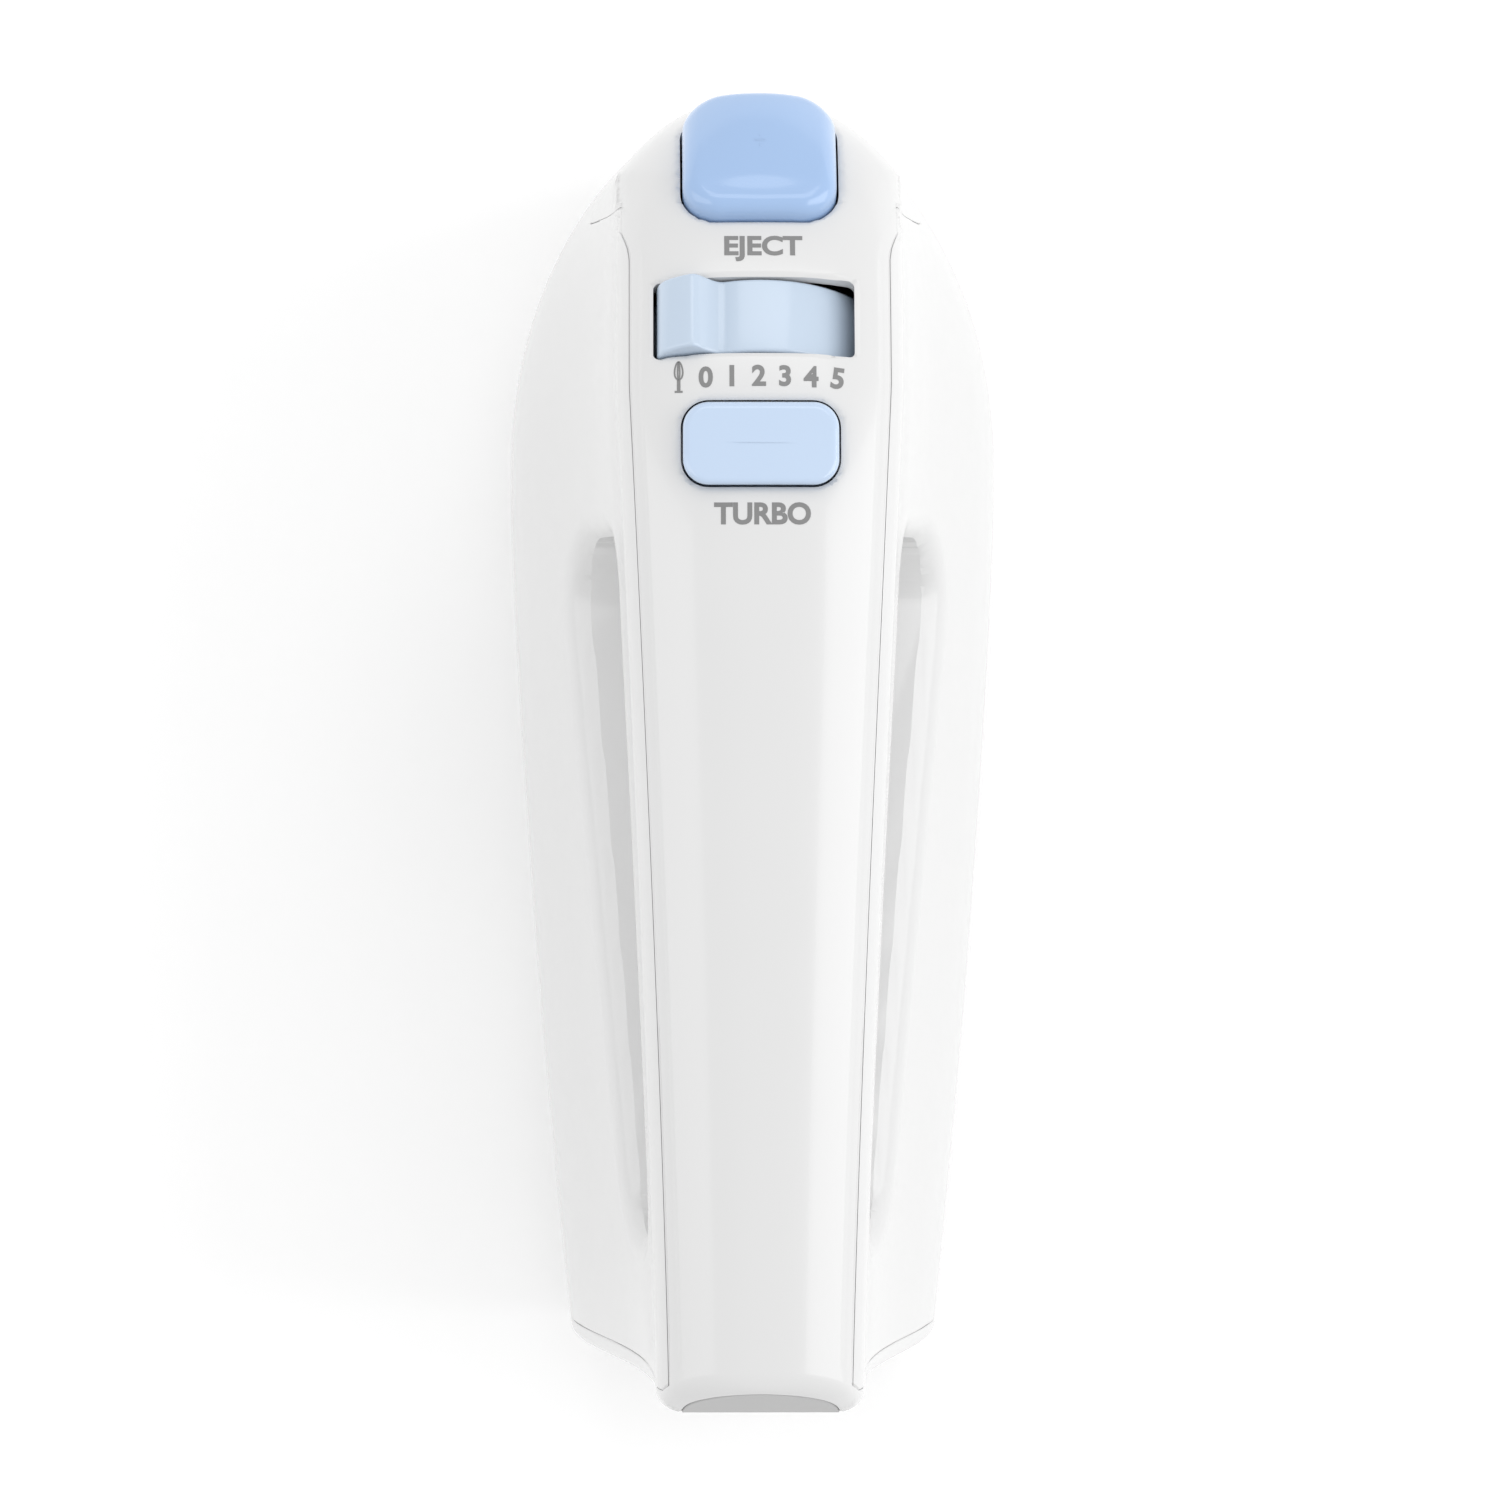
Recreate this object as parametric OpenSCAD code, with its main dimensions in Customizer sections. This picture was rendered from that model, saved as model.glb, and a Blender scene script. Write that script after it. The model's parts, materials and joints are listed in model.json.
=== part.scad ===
// Hand mixer: hollow moulded housing with a top grip, a lever-free eject button, a roller speed
// selector, a turbo key, and one motor that turns two beater sockets through a worm.
// Millimetres. +Z up, +Y to the nose, +X right. The origin is under the middle, on the table.

/* [Housing] */
// Overall length, heel to nose
body_l = 208; // [195:1:250]
// Overall width at the belly
body_w = 80; // [76:1:96]
// Overall height at the back of the grip
body_h = 135; // [130:1:162]
// Thickness of the moulded walls
wall = 2.2; // [1.8:0.1:2.7]
// Height of the foremost point of the nose
nose_z = 82; // [78:1:90]
// Length over which the top falls away to the nose
nose_run = 88; // [80:1:92]
// Length over which the sides close in to the nose
nose_plan = 58; // [54:1:62]
// Height of the widest level
belly_z = 30; // [26:1:34]
// How much narrower the heel is than the belly, on each side
heel_taper = 10.2; // [8:0.1:12]
// Depth of the rounded crown of the grip
crown_d = 13; // [12:0.5:15]
// Half-width of the crown at the heel
crown_heel = 16.2; // [15:0.1:18]
// Half-width of the crown at the start of the nose
crown_nose = 22.4; // [21.5:0.1:24]
// Lean of the heel face from upright, in degrees
heel_lean = 3.5; // [2:0.5:5]
// Height of the bevel above the heel face
bevel_h = 7.4; // [6.5:0.1:9]
// Width of the gap on every parting line
part_gap = 0.2; // [0.15:0.05:0.3]

/* [Finger opening] */
// Distance from the heel to the back end of the opening
slot_back = 25; // [24:1:30]
// Distance from the nose to the front end of the opening
slot_front = 71; // [70:1:76]
// Height of the opening's floor at its front end
slot_floor = 71; // [70:1:74]
// Rise of the floor towards its back end
slot_rise = 8; // [4:1:10]
// Height of the grip above the opening
grip_h = 32; // [29:1:38]
// Corner radius at the ends of the opening
slot_r = 11; // [9:0.5:12]

/* [Controls] */
// Width of the eject button and of the turbo key
key_w = 24.2; // [20:0.1:26]
// Length of the turbo key
turbo_l = 12.9; // [11:0.1:14]
// Height of both keys above the deck
key_rise = 2.2; // [1.8:0.1:2.7]
// Travel of the turbo key
turbo_travel = 2.2; // [1.6:0.1:2.6]
// Length of the eject button down the nose
eject_l = 26; // [23:0.5:28]
// Tilt of the eject button's travel from upright, in degrees
eject_tilt = 35; // [30:1:38]
// Travel of the eject button
eject_travel = 6.4; // [5:0.1:6.6]
// Radius of the speed roller
roller_r = 19; // [17:0.5:19.5]
// Length of the speed roller
roller_l = 12.4; // [10:0.1:13]
// Height of the thumb tab above the roller
tab_h = 5; // [4:0.1:5.6]

/* [Drive] */
// Height of the motor shaft
axis_z = 38; // [36:0.5:42]
// Diameter of the motor shaft
shaft_d = 6; // [5:0.1:6.4]
// Length of the rotor and stator stack
stack_l = 34; // [28:1:40]
// Width of the square stator
stator_w = 52; // [46:1:54]
// Radius of the rotor stack
rotor_r = 15; // [13:0.5:16]
// Tooth module of the worm and its two wheels
gear_m = 1.5; // [1.4:0.05:1.6]
// Teeth on each wheel
wheel_teeth = 18; // [16:1:18]
// Pitch radius of the worm
worm_r = 5; // [4.8:0.1:5.6]
// Face width of the wheels
wheel_w = 8; // [6:0.5:9]

/* [Beater sockets] */
// Bore of each socket
socket_d = 6.4; // [5.4:0.1:7]
// Outside diameter of each socket
socket_od = 14; // [12.5:0.1:15]
// Outside diameter of the upper journal
journal_od = 10; // [9.4:0.1:10.6]

/* [Fits] */
// Radial gap of a shaft in its bearing
run_gap = 0.05; // [0.02:0.01:0.09]
// Gap around a key in its window
key_gap = 0.35; // [0.3:0.05:0.5]
// Radial gap of a fixed pin or screw in its hole
fix_gap = 0.03; // [0.02:0.01:0.08]

/* [Hidden] */

white = "#ECECEC";
sky = "#ABC7EC";
ice = "#D0DCEA";
graphite = "#5A5D62";
pale_grey = "#BFBFBF";
steel = "#B9BDC2";
brass = "#C9A24A";
copper = "#B56A3A";
black = "#2C2C2E";
green = "#2F6B4A";
natural = "#D9D6CC";

tiny = 0.01;
// outer form
top_start = body_l - nose_run;
wide_end = body_l - nose_plan;
wide_start = wide_end - 6;
base_over = 6;
belly_share = (belly_z + base_over) / (nose_z + base_over);
crown_n = 2.4;
belly_n = 3.2;
heel_edge = 3;
heel_wall = 3.4;
heel_drop = 1.5;
rim_z = body_h - heel_drop - bevel_h;
bevel_run = 3.9;
base_round = 12;
ring_pts = 42;
band_inset = 2;
band_depth = 8.5;
cap_s = body_l - 19.5;
cap_z = nose_z - 22;
// inside
base_t = 3;
base_lip = 3.3;
slot_top = body_h - grip_h;
slot_back_floor = slot_floor + slot_rise;
slot_end = body_l - slot_front;
// controls
turbo_s = body_l - 57.5;
roller_s = body_l - 37;
eject_s = body_l - 12.5;
roller_sink = 0.6;
roller_tilt = 22;
roller_rest = 31;
roller_turn = 61.5;
roller_off = roller_r + roller_sink;
axle_r = 2;
hub_r = 4.6;
cheek_t = 1.6;
cheek_gap = 0.9;
stem_r = 2;
// drive line, measured from the heel
gear_s = body_l - 50;
wheel_r = gear_m * wheel_teeth / 2;
spindle_x = worm_r + wheel_r;
front_wall_s = gear_s + 18;
rear_wall_s = gear_s - 20;
bearing_s = gear_s - 45;
bearing_l = 8;
fan_s = bearing_s - 12;
fan_l = 8;
stack_s = fan_s - 5 - stack_l;
comm_s = stack_s - 14;
comm_l = 10;
tail_s = comm_s - 10;
shaft_r = shaft_d / 2;
air_gap = 0.5;
fan_r = 19;
worm_l = 30;
wall_t = 4;
journal_r = journal_od / 2;
socket_r = socket_d / 2;
spindle_r = socket_od / 2;
wheel_z = axis_z - wheel_w / 2;
cover_z = axis_z + 8;
cover_t = 4;
spindle_top = cover_z + cover_t + 1;
spindle_bottom = 1;
plate_t = 4;
plate_top = base_t + plate_t;
tooth_out = 1.2;
tooth_t = 2;
thread_t = 1.7;
lead = PI * gear_m;
lead_angle = atan(lead / (2 * PI * worm_r));
pin_r = 2.6;
pin_gap = 1;
lift_z = spindle_top + 17;
lift_t = 3;
guide_s = gear_s + 13;
guide_r = 3;
post_s = body_l - 23.5;
screw_r = 1.5;
head_r = 2.8;
head_h = 2;
base_screw_back = 32;
base_screw_front = body_l - 82;
bush_wall = 2;
gland_z = 26;
gland_bore = 3.6;
gland_r = 6.4;

// ---------- outer form ----------
// Height of the top of the housing, drawn in by d
function top_z(s, d = 0) = let (u = (s - top_start) / (nose_run - d))
    s < top_start ? body_h - d - heel_drop * pow((top_start - s) / top_start, 2)
    : nose_z + (body_h - d - nose_z) * sqrt(max(0, 1 - u * u));
// Height of the underside before the flat base cuts it
function low_z(s, d = 0) = let (u = max(0, (s - wide_end) / (nose_plan - d)))
    nose_z - (nose_z + base_over - d) * pow(max(0, 1 - pow(u, 4)), 0.25);
// Half-width at the belly
function belly_x(s, d = 0) = let (u = (s - wide_end) / (nose_plan - d))
    s < wide_start ? body_w / 2 - d - heel_taper * pow((wide_start - s) / wide_start, 1.3)
    : s < wide_end ? body_w / 2 - d
    : (body_w / 2 - d) * sqrt(max(0, 1 - u * u));
// Half-width of the crown
function crown_x(s, d = 0) = let (k = min(1, s / (wide_end + 10)))
    min(crown_heel + (crown_nose - crown_heel) * pow(k, 1.25) - d, 0.86 * belly_x(s, d));
function smooth(q) = q * q * (3 - 2 * q);
function bell_power(s) = 1.75 - 0.3 * min(1, s / top_start);
function low_cut(s, d) = max(low_z(s, d), d);
function waist_z(s, d) = let (b = low_z(s, d)) b + (nose_z - b) * belly_share;
function crown_h(s, d) = min(crown_d, 0.45 * (top_z(s, d) - waist_z(s, d)));
// Half-width at height z
function side_x(s, z, d = 0) = let (
    zt = top_z(s, d), zw = waist_z(s, d), ch = crown_h(s, d), cx = crown_x(s, d), bx = belly_x(s, d),
    q = min(1, max(0, (zt - z) / (zt - zw))), bell = smooth(pow(q, bell_power(s))),
    t = min(1, max(0, (zt - z) / ch)),
    c = pow(max(0, 1 - pow(1 - t, crown_n)), 1 / crown_n),
    b = min(1, max(0, (zw - z) / max(tiny, zw - low_z(s, d)))))
    z > zw ? (cx + (bx - cx) * bell) * c : bx * pow(max(0, 1 - pow(b, belly_n)), 1 / belly_n);
// How far the heel face stands forward of the heel's rearmost edge at height z
function heel_s(z) = z > rim_z ? (z - rim_z) * bevel_run / bevel_h
    : (rim_z - z) * tan(heel_lean)
        + (z < base_round ? base_round - sqrt(base_round * base_round - pow(base_round - z, 2)) : 0);
// Heights of the ring at station s, from crown to underside
function ring_z(s, d, j) = let (
    zt = top_z(s, d), zw = waist_z(s, d), ch = crown_h(s, d), zb = low_cut(s, d), n = ring_pts / 2,
    a = floor(n * 0.4), b = floor(n * 0.72))
    j <= a ? zt - ch * (1 - cos(90 * j / a))
    : j <= b ? zt - ch - (zt - ch - zw) * (j - a) / (b - a)
    : zw - (zw - zb) * sin(90 * (j - b) / (n - b));
// Widening of the ring from the rounded heel edge to its full size
function edge_in(s, d) = let (e = max(0, heel_edge - (s - d)) / heel_edge)
    heel_edge * (1 - sqrt(max(0, 1 - e * e)));
function station(s, z, d) = s + heel_s(z) * max(0, 1 - s / 60);
function ring_point(s, place, d, j, side) = let (
    z0 = ring_z(s, d, j), k = edge_in(s, d), x = max(0.3, side_x(s, z0, d) - k),
    mid = waist_z(s, d), z = z0 > mid ? z0 - 0.3 * k * (z0 - mid) / (top_z(s, d) - mid) : max(z0, d),
    flat = j == 0 ? 0 : x)
    [side * flat, station(place, z, d), z];
// Stations along the housing, close together where it curves
function stations(d) = concat([for (s = [d, d + 0.4, d + 1.4, d + heel_edge]) s],
    [for (i = [1 : 7]) d + heel_edge + (wide_start - 12 - d) * i / 8],
    [for (i = [0 : 11]) wide_end + (nose_plan - d) * sin(90 * i / 12)],
    [body_l - d]);
// Triangles that close a ring by level strips from side to side
function end_strips(a, n, back) = let (
    tri = concat([[0, 1, 2 * n]], [for (j = [1 : n - 1])
        each [[j, j + 1, 2 * n - j], [j, 2 * n - j, 2 * n + 1 - j]]]))
    [for (f = tri) back ? [a + f[2], a + f[1], a + f[0]] : [a + f[0], a + f[1], a + f[2]]];
module loft(d) {
    st = stations(d);
    n = ring_pts / 2;
    last = len(st) - 1;
    rings = [for (i = [0 : last]) let (s = i == last ? body_l - d - (nose_plan - d) * 0.004 : st[i])
        concat([for (j = [0 : n]) ring_point(s, st[i], d, j, 1)],
            [for (j = [n : -1 : 1]) ring_point(s, st[i], d, j, -1)])];
    m = len(rings[0]);
    polyhedron(points = [for (r = rings) each r],
        faces = concat(end_strips(0, n, false), end_strips(last * m, n, true),
            [for (i = [0 : last - 1], j = [0 : m - 1]) let (k = (j + 1) % m, a = i * m, b = (i + 1) * m)
                each [[a + j, b + j, b + k], [a + j, b + k, a + k]]]), convexity = 6);
}
// Moves a piece drawn from the heel into the shared frame
module placed() {
    translate([0, -body_l / 2, 0]) children();
}

// ---------- openings and regions ----------
// Side outline of the finger opening, grown by g
module slot_outline(g) {
    r = slot_r + g;
    pts = [[slot_back + slot_r, slot_back_floor + slot_r], [slot_back + slot_r, slot_top - slot_r],
        [slot_end - slot_r, slot_floor + slot_r], [slot_end - slot_r, slot_top - slot_r]];
    hull() for (p = pts) translate(p) circle(r, $fn = 40);
}
module slot(g) {
    rotate([90, 0, 90]) linear_extrude(body_w + 20, center = true, convexity = 4) slot_outline(g);
}
// Outline of the flat base, drawn in by d
function base_x(s, d) = max(0.5, side_x(s, 0.5) - d);
module base_outline(d) {
    s0 = heel_s(0) * 0.62 + heel_edge + d;
    s1 = wide_end + nose_plan * 0.68 - d;
    st = [for (i = [0 : 20]) s0 + (s1 - s0) * i / 20];
    polygon(concat([for (s = st) [base_x(s, d), s]], [for (i = [20 : -1 : 0]) [-base_x(st[i], d), st[i]]]));
}
// Half-width of the top cover between its parting lines
function band_x(s) = crown_x(s) - band_inset + 5 * pow(max(0, (s - cap_s + 9) / 9), 2);
// Solid that holds the top cover: a band over the grip, the nose cap and the heel wall
module cover_region(g) {
    st = concat([for (i = [0 : 14]) -5 + (cap_s - 4) * i / 14], [cap_s, cap_s + 1]);
    rings = [for (s = st) let (c = max(0, s), x = min(band_x(c), 60) + g, z0 = top_z(c) - band_depth - g)
        [[-x, s, z0], [-x, s, body_h + 9], [x, s, body_h + 9], [x, s, z0]]];
    n = len(st) - 1;
    polyhedron(points = [for (r = rings) each r],
        faces = concat([[0, 1, 2, 3]],
            [for (i = [0 : n - 1], j = [0 : 3]) let (k = (j + 1) % 4, a = i * 4, b = a + 4)
                [a + j, b + j, b + k, a + k]], [[4 * n + 3, 4 * n + 2, 4 * n + 1, 4 * n]]),
        convexity = 4);
    translate([-body_w, cap_s - g, cap_z - g]) cube([2 * body_w, nose_plan, body_h]);
    heel_slab(heel_wall + g);
}
// Everything within g of the heel face
module heel_slab(g) {
    rotate([90, 0, 90]) linear_extrude(2 * body_w, center = true) polygon(concat([[-9, -9], [heel_s(0) + g, -9]],
        [for (i = [0 : 12]) let (z = rim_z * i / 12) [heel_s(z) + g, z]],
        [[bevel_run + g, body_h], [bevel_run + g, body_h + 9], [-9, body_h + 9]]));
}
// Stadium prism used for slots and keyholes, along Z
module pill(w, l, h, r) {
    hull() for (x = [-1, 1], y = [-1, 1])
        translate([x * (w / 2 - r), y * (l / 2 - r), 0]) cylinder(h, r, r, $fn = 32);
}
module at_roller() {
    translate([0, roller_s, top_z(roller_s)]) rotate([-roller_tilt, 0, 0])
        translate([0, 0, -roller_off]) children();
}
module at_eject() {
    translate([0, eject_s, top_z(eject_s)]) rotate([-eject_tilt, 0, 0]) children();
}
// The moulding: outer form less its hollow and the finger opening
module moulding() {
    difference() {
        loft(0);
        slot(0);
        difference() {
            loft(wall);
            slot(wall);
            heel_slab(heel_wall);
        }
        translate([0, 0, -1]) linear_extrude(1 + base_t + part_gap) base_outline(base_lip);
    }
}

// ---------- housing pieces ----------
post_half = 3.2;
rear_post_x = 13;
rear_post_s = slot_end + 1;
shelf_z = top_z(turbo_s) - 14.4;
module cover_post(h) {
    for (x = [-1, 1]) translate([x * rear_post_x, rear_post_s, shelf_z + 1.5])
        difference() {
            cylinder(h, post_half, post_half, $fn = 32);
            translate([0, 0, -1]) cylinder(9, screw_r + fix_gap, screw_r + fix_gap, $fn = 32);
        }
}
module top_cover() {
    color(white) placed() difference() {
        union() {
            intersection() {
                moulding();
                cover_region(0);
            }
            intersection() {
                loft(wall / 2);
                union() {
                    cover_post(body_h);
                    for (i = [0 : 6]) let (s = slot_back + 8 + (slot_end - slot_back - 10) * i / 6)
                        hull() for (z = [0, 2]) translate([-crown_x(s) + wall + 3, s, top_z(s) - wall - 2 + z])
                            cube([2 * (crown_x(s) - wall - 3), 1.4, 1]);
                }
            }
        }
        translate([0, turbo_s, shelf_z]) pill(key_w + 2 * key_gap, turbo_l + 2 * key_gap, body_h, 4.4);
        translate([0, roller_s, top_z(roller_s)]) rotate([-roller_tilt, 0, 0]) {
            w = 31.4;
            translate([-1, 0, -9]) pill(w, roller_l + 2 * key_gap, 20, 1);
        }
        at_eject() translate([0, 1, -14]) pill(key_w + 2 * key_gap, eject_l + 2 * key_gap, 40, 6.4);
        heel_plate_solid(part_gap, 2);
        gland_hole(gland_r + part_gap);
    }
}
module gland_hole(r) {
    translate([0, -5, gland_z]) rotate([-90, 0, 0]) cylinder(30, r, r, $fn = 48);
}
boss_r = 4;
boss_h = 12;
vent_n = 9;
module side_shell(side) {
    difference() {
        union() {
            intersection() {
                moulding();
                translate([side > 0 ? part_gap / 2 : -body_w - part_gap / 2, -9, -9])
                    cube([body_w, body_l + 20, body_h + 20]);
            }
            intersection() {
                loft(wall / 2);
                for (s = [base_screw_back, base_screw_front]) shell_boss(side, s);
            }
        }
        cover_region(part_gap);
        for (i = [0 : vent_n - 1]) let (s = fan_s - 18 + 5 * i)
            hull() for (z = [14, 24]) translate([side * body_w / 2, s, z]) rotate([0, 90, 0])
                cylinder(30, 1, 1, center = true, $fn = 16);
    }
}
function boss_x(s) = base_x(s, base_lip) - boss_r - 0.8;
module shell_boss(side, s) {
    difference() {
        union() {
            translate([side * boss_x(s), s, base_t]) cylinder(boss_h, boss_r, boss_r, $fn = 32);
            translate([side > 0 ? boss_x(s) : -body_w / 2, s - 1, base_t])
                cube([body_w / 2 - boss_x(s), 2, boss_h]);
        }
        translate([side * boss_x(s), s, 0]) cylinder(9, screw_r + fix_gap, screw_r + fix_gap, $fn = 32);
    }
}
module left_shell() {
    color(white) placed() side_shell(-1);
}
module right_shell() {
    color(white) placed() side_shell(1);
}
module each_base_screw() {
    for (x = [-1, 1], s = [base_screw_back, base_screw_front])
        translate([x * boss_x(s), s, 0]) children();
}
module each_chassis_screw() {
    for (x = [-1, 1], s = [tail_s + 14, rear_wall_s - 6])
        translate([x * 10, s, 0]) children();
}
module base_cover() {
    color(white) placed() difference() {
        linear_extrude(base_t) base_outline(base_lip + part_gap);
        for (x = [-1, 1]) translate([x * spindle_x, gear_s, -1])
            cylinder(base_t + 2, spindle_r + 1.5, spindle_r + 1.5, $fn = 48);
        each_base_screw() {
            translate([0, 0, -1]) cylinder(9, screw_r + fix_gap, screw_r + fix_gap, $fn = 32);
            translate([0, 0, -1]) cylinder(1 + head_h - 0.4, head_r + 0.2, head_r + 0.2, $fn = 32);
        }
        each_chassis_screw() translate([0, 0, -1])
            cylinder(9, screw_r + fix_gap, screw_r + fix_gap, $fn = 32);
        for (i = [0 : 5]) translate([-12, fan_s - 12 + 5 * i, -1]) cube([24, 2, base_t + 2]);
    }
}
module screw(l) {
    cylinder(l, screw_r, screw_r, $fn = 32);
    translate([0, 0, 0]) cylinder(head_h - 0.6, head_r, head_r, $fn = 32);
}
module base_screws() {
    color(steel) placed() each_base_screw() translate([0, 0, 0.2]) screw(8.4);
}
plate_inset = 3.2;
plate_lo = 16;
// Heel face and bevel, a plate let into the heel wall, grown by g and run out by out
module heel_plate_solid(g, out) {
    zs = [for (i = [0 : 10]) plate_lo - g + (rim_z - plate_lo + 2 * g) * i / 10];
    face = concat([for (z = zs) [side_x(heel_edge, z) - plate_inset + g, z]],
        [for (i = [10 : -1 : 0]) [-side_x(heel_edge, zs[i]) + plate_inset - g, zs[i]]]);
    depth = 1.6 + g;
    tall = bevel_h - 1.5 + g;
    multmatrix([[1, 0, 0, 0], [0, 1, -tan(heel_lean), rim_z * tan(heel_lean)], [0, 0, 1, 0], [0, 0, 0, 1]])
        intersection() {
            rotate([90, 0, 0]) translate([0, 0, -depth]) linear_extrude(depth + out) polygon(face);
            translate([-body_w, -9, 0]) cube([2 * body_w, 20, body_h]);
        }
    w = side_x(heel_edge, rim_z) - plate_inset + g;
    multmatrix([[1, 0, 0, 0], [0, 1, bevel_run / bevel_h, -rim_z * bevel_run / bevel_h],
        [0, 0, 1, 0], [0, 0, 0, 1]])
        rotate([90, 0, 0]) translate([0, 0, -depth]) linear_extrude(depth + out)
            intersection() {
                translate([0, rim_z]) scale([w, tall]) circle(1, $fn = 48);
                translate([-w, rim_z - g]) square([2 * w, tall + g]);
            }
}
module heel_plate() {
    color(pale_grey) placed() difference() {
        heel_plate_solid(0, 0);
        gland_hole(gland_r + part_gap);
    }
}
module heel_pads() {
    color(black) placed() for (x = [-1, 1], z = [plate_lo + 12, rim_z - 40])
        translate([x * (side_x(heel_edge, z) - 9), heel_s(z), z]) rotate([90 + heel_lean, 0, 0])
            cylinder(0.8, 3.4, 3.4, $fn = 32);
}
module cord_gland() {
    color(black) placed() translate([0, heel_s(gland_z), gland_z]) rotate([-90, 0, 0]) difference() {
        union() {
            translate([0, 0, 0.6]) cylinder(14, gland_r, gland_r, $fn = 48);
            translate([0, 0, heel_wall + 1.4]) cylinder(3, gland_r + 2.6, gland_r + 2.6, $fn = 48);
        }
        translate([0, 0, -1]) cylinder(20, gland_bore, gland_bore, $fn = 48);
    }
}

// ---------- controls ----------
module eject_button() {
    r = 6;
    lo = -8;
    hi = key_rise + 2;
    foot = top_z(eject_s) - eject_foot_z();
    color(sky) placed() difference() {
        at_eject() union() {
            intersection() {
                translate([0, 1, lo]) pill(key_w, eject_l, 22, r);
                rotate([90, 0, 90]) linear_extrude(key_w + 2, center = true)
                    polygon([[-eject_l / 2 + 1, lo], [-eject_l / 2 + 1, hi - 0.6], [-eject_l / 2 + 2.2, hi],
                        [-6, hi + 0.3], [0, hi + 0.1], [6, hi - 0.6], [10, hi - 1.7], [13, hi - 3.2],
                        [eject_l / 2 + 1, hi - 5.2], [eject_l / 2 + 1, lo]]);
            }
            translate([-4, -2.5, -30]) cube([8, 5, 30 + lo + 1]);
        }
        translate([-20, eject_s - 60, eject_foot_z() - 40]) cube([40, 80, 40]);
    }
}
// Height at which the stem meets the ejector's post
function eject_foot_z() = top_z(eject_s) - 17;
module ejector() {
    top = eject_foot_z() - 0.3;
    color(natural) placed() difference() {
        union() {
            translate([-spindle_x - 3.6, gear_s - 5, lift_z]) cube([2 * spindle_x + 7.2, 10, lift_t]);
            translate([-6, gear_s, lift_z]) cube([12, post_s + 3.5 - gear_s, lift_t]);
            translate([-5, post_s - 3.5, lift_z]) cube([10, 7, top - lift_z]);
            for (x = [-1, 1]) translate([x * spindle_x, gear_s, spindle_top + pin_gap])
                cylinder(lift_z + 1 - spindle_top - pin_gap, pin_r, pin_r, $fn = 32);
        }
        translate([0, guide_s, lift_z - 1]) cylinder(9, guide_r + 0.2, guide_r + 0.2, $fn = 48);
    }
}
// A coil spring standing on z = 0, with flat-bottomed turns of round wire
module coil(r, wire, h, turns) {
    seg = 12;
    k = 6;
    n = turns * seg;
    pts = [for (i = [0 : n]) let (a = 360 * i / seg, z = wire + (h - 2 * wire) * i / n)
        each [for (j = [0 : k - 1]) let (b = 360 * j / k, q = r + wire * cos(b))
            [q * cos(a), q * sin(a), z + wire * sin(b) * 0.98]]];
    polyhedron(points = pts, faces = concat([[for (j = [0 : k - 1]) j]],
        [for (i = [0 : n - 1], j = [0 : k - 1]) let (m = (j + 1) % k, a = i * k, b = a + k)
            each [[a + j, b + j, b + m], [a + j, b + m, a + m]]],
        [[for (j = [k - 1 : -1 : 0]) n * k + j]]), convexity = 8);
}
module eject_spring() {
    color(steel) placed() translate([0, guide_s, cover_z + cover_t + 0.1])
        coil(guide_r + 1.5, 0.5, lift_z - cover_z - cover_t - 0.3, 5);
}
module tab_outline() {
    r = roller_r;
    polygon([[-6.6, r - 0.9], [-6.4, r + 1.5], [-4.6, r + tab_h - 1], [-2.6, r + tab_h],
        [1.6, r + tab_h], [2.3, r + tab_h - 0.8], [2.8, r + 1.8], [3.5, r + 0.2], [4.4, r - 0.8]]);
}
module speed_selector() {
    color(ice) placed() at_roller() rotate([90, 0, 0]) rotate([0, 0, roller_rest])
        difference() {
            union() {
                translate([0, 0, -roller_l / 2]) difference() {
                    cylinder(roller_l, roller_r, roller_r, $fn = 96);
                    for (z = [-1, roller_l / 2 + 1]) translate([0, 0, z])
                        cylinder(roller_l / 2, roller_r - 1.8, roller_r - 1.8, $fn = 96);
                }
                translate([0, 0, -roller_l / 2 - 0.5]) cylinder(roller_l + 1, hub_r, hub_r, $fn = 48);
                translate([0, 0, -roller_l / 2]) linear_extrude(roller_l) tab_outline();
            }
            translate([0, 0, -roller_l]) cylinder(2 * roller_l, axle_r + run_gap, axle_r + run_gap, $fn = 48);
        }
}
axle_end = roller_l / 2 + cheek_gap + cheek_t + 1.2;
module selector_axle() {
    color(steel) placed() at_roller() rotate([90, 0, 0]) translate([0, 0, -axle_end])
        cylinder(2 * axle_end, axle_r, axle_r, $fn = 48);
}
module selector_clip() {
    color(steel) placed() at_roller() rotate([90, 0, 0])
        translate([0, 0, roller_l / 2 + cheek_gap + cheek_t + 0.05]) difference() {
            cylinder(0.8, axle_r + 1.6, axle_r + 1.6, $fn = 32);
            translate([0, 0, -1]) cylinder(3, axle_r + fix_gap, axle_r + fix_gap, $fn = 32);
        }
}
module speed_switch() {
    color(black) placed() at_roller() rotate([-90, 0, 0])
        translate([0, 0, roller_l / 2 + cheek_gap + cheek_t]) difference() {
            cylinder(5, 6.6, 6.6, $fn = 48);
            translate([0, 0, -1]) cylinder(4, axle_r + 0.4, axle_r + 0.4, $fn = 48);
        }
}
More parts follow.
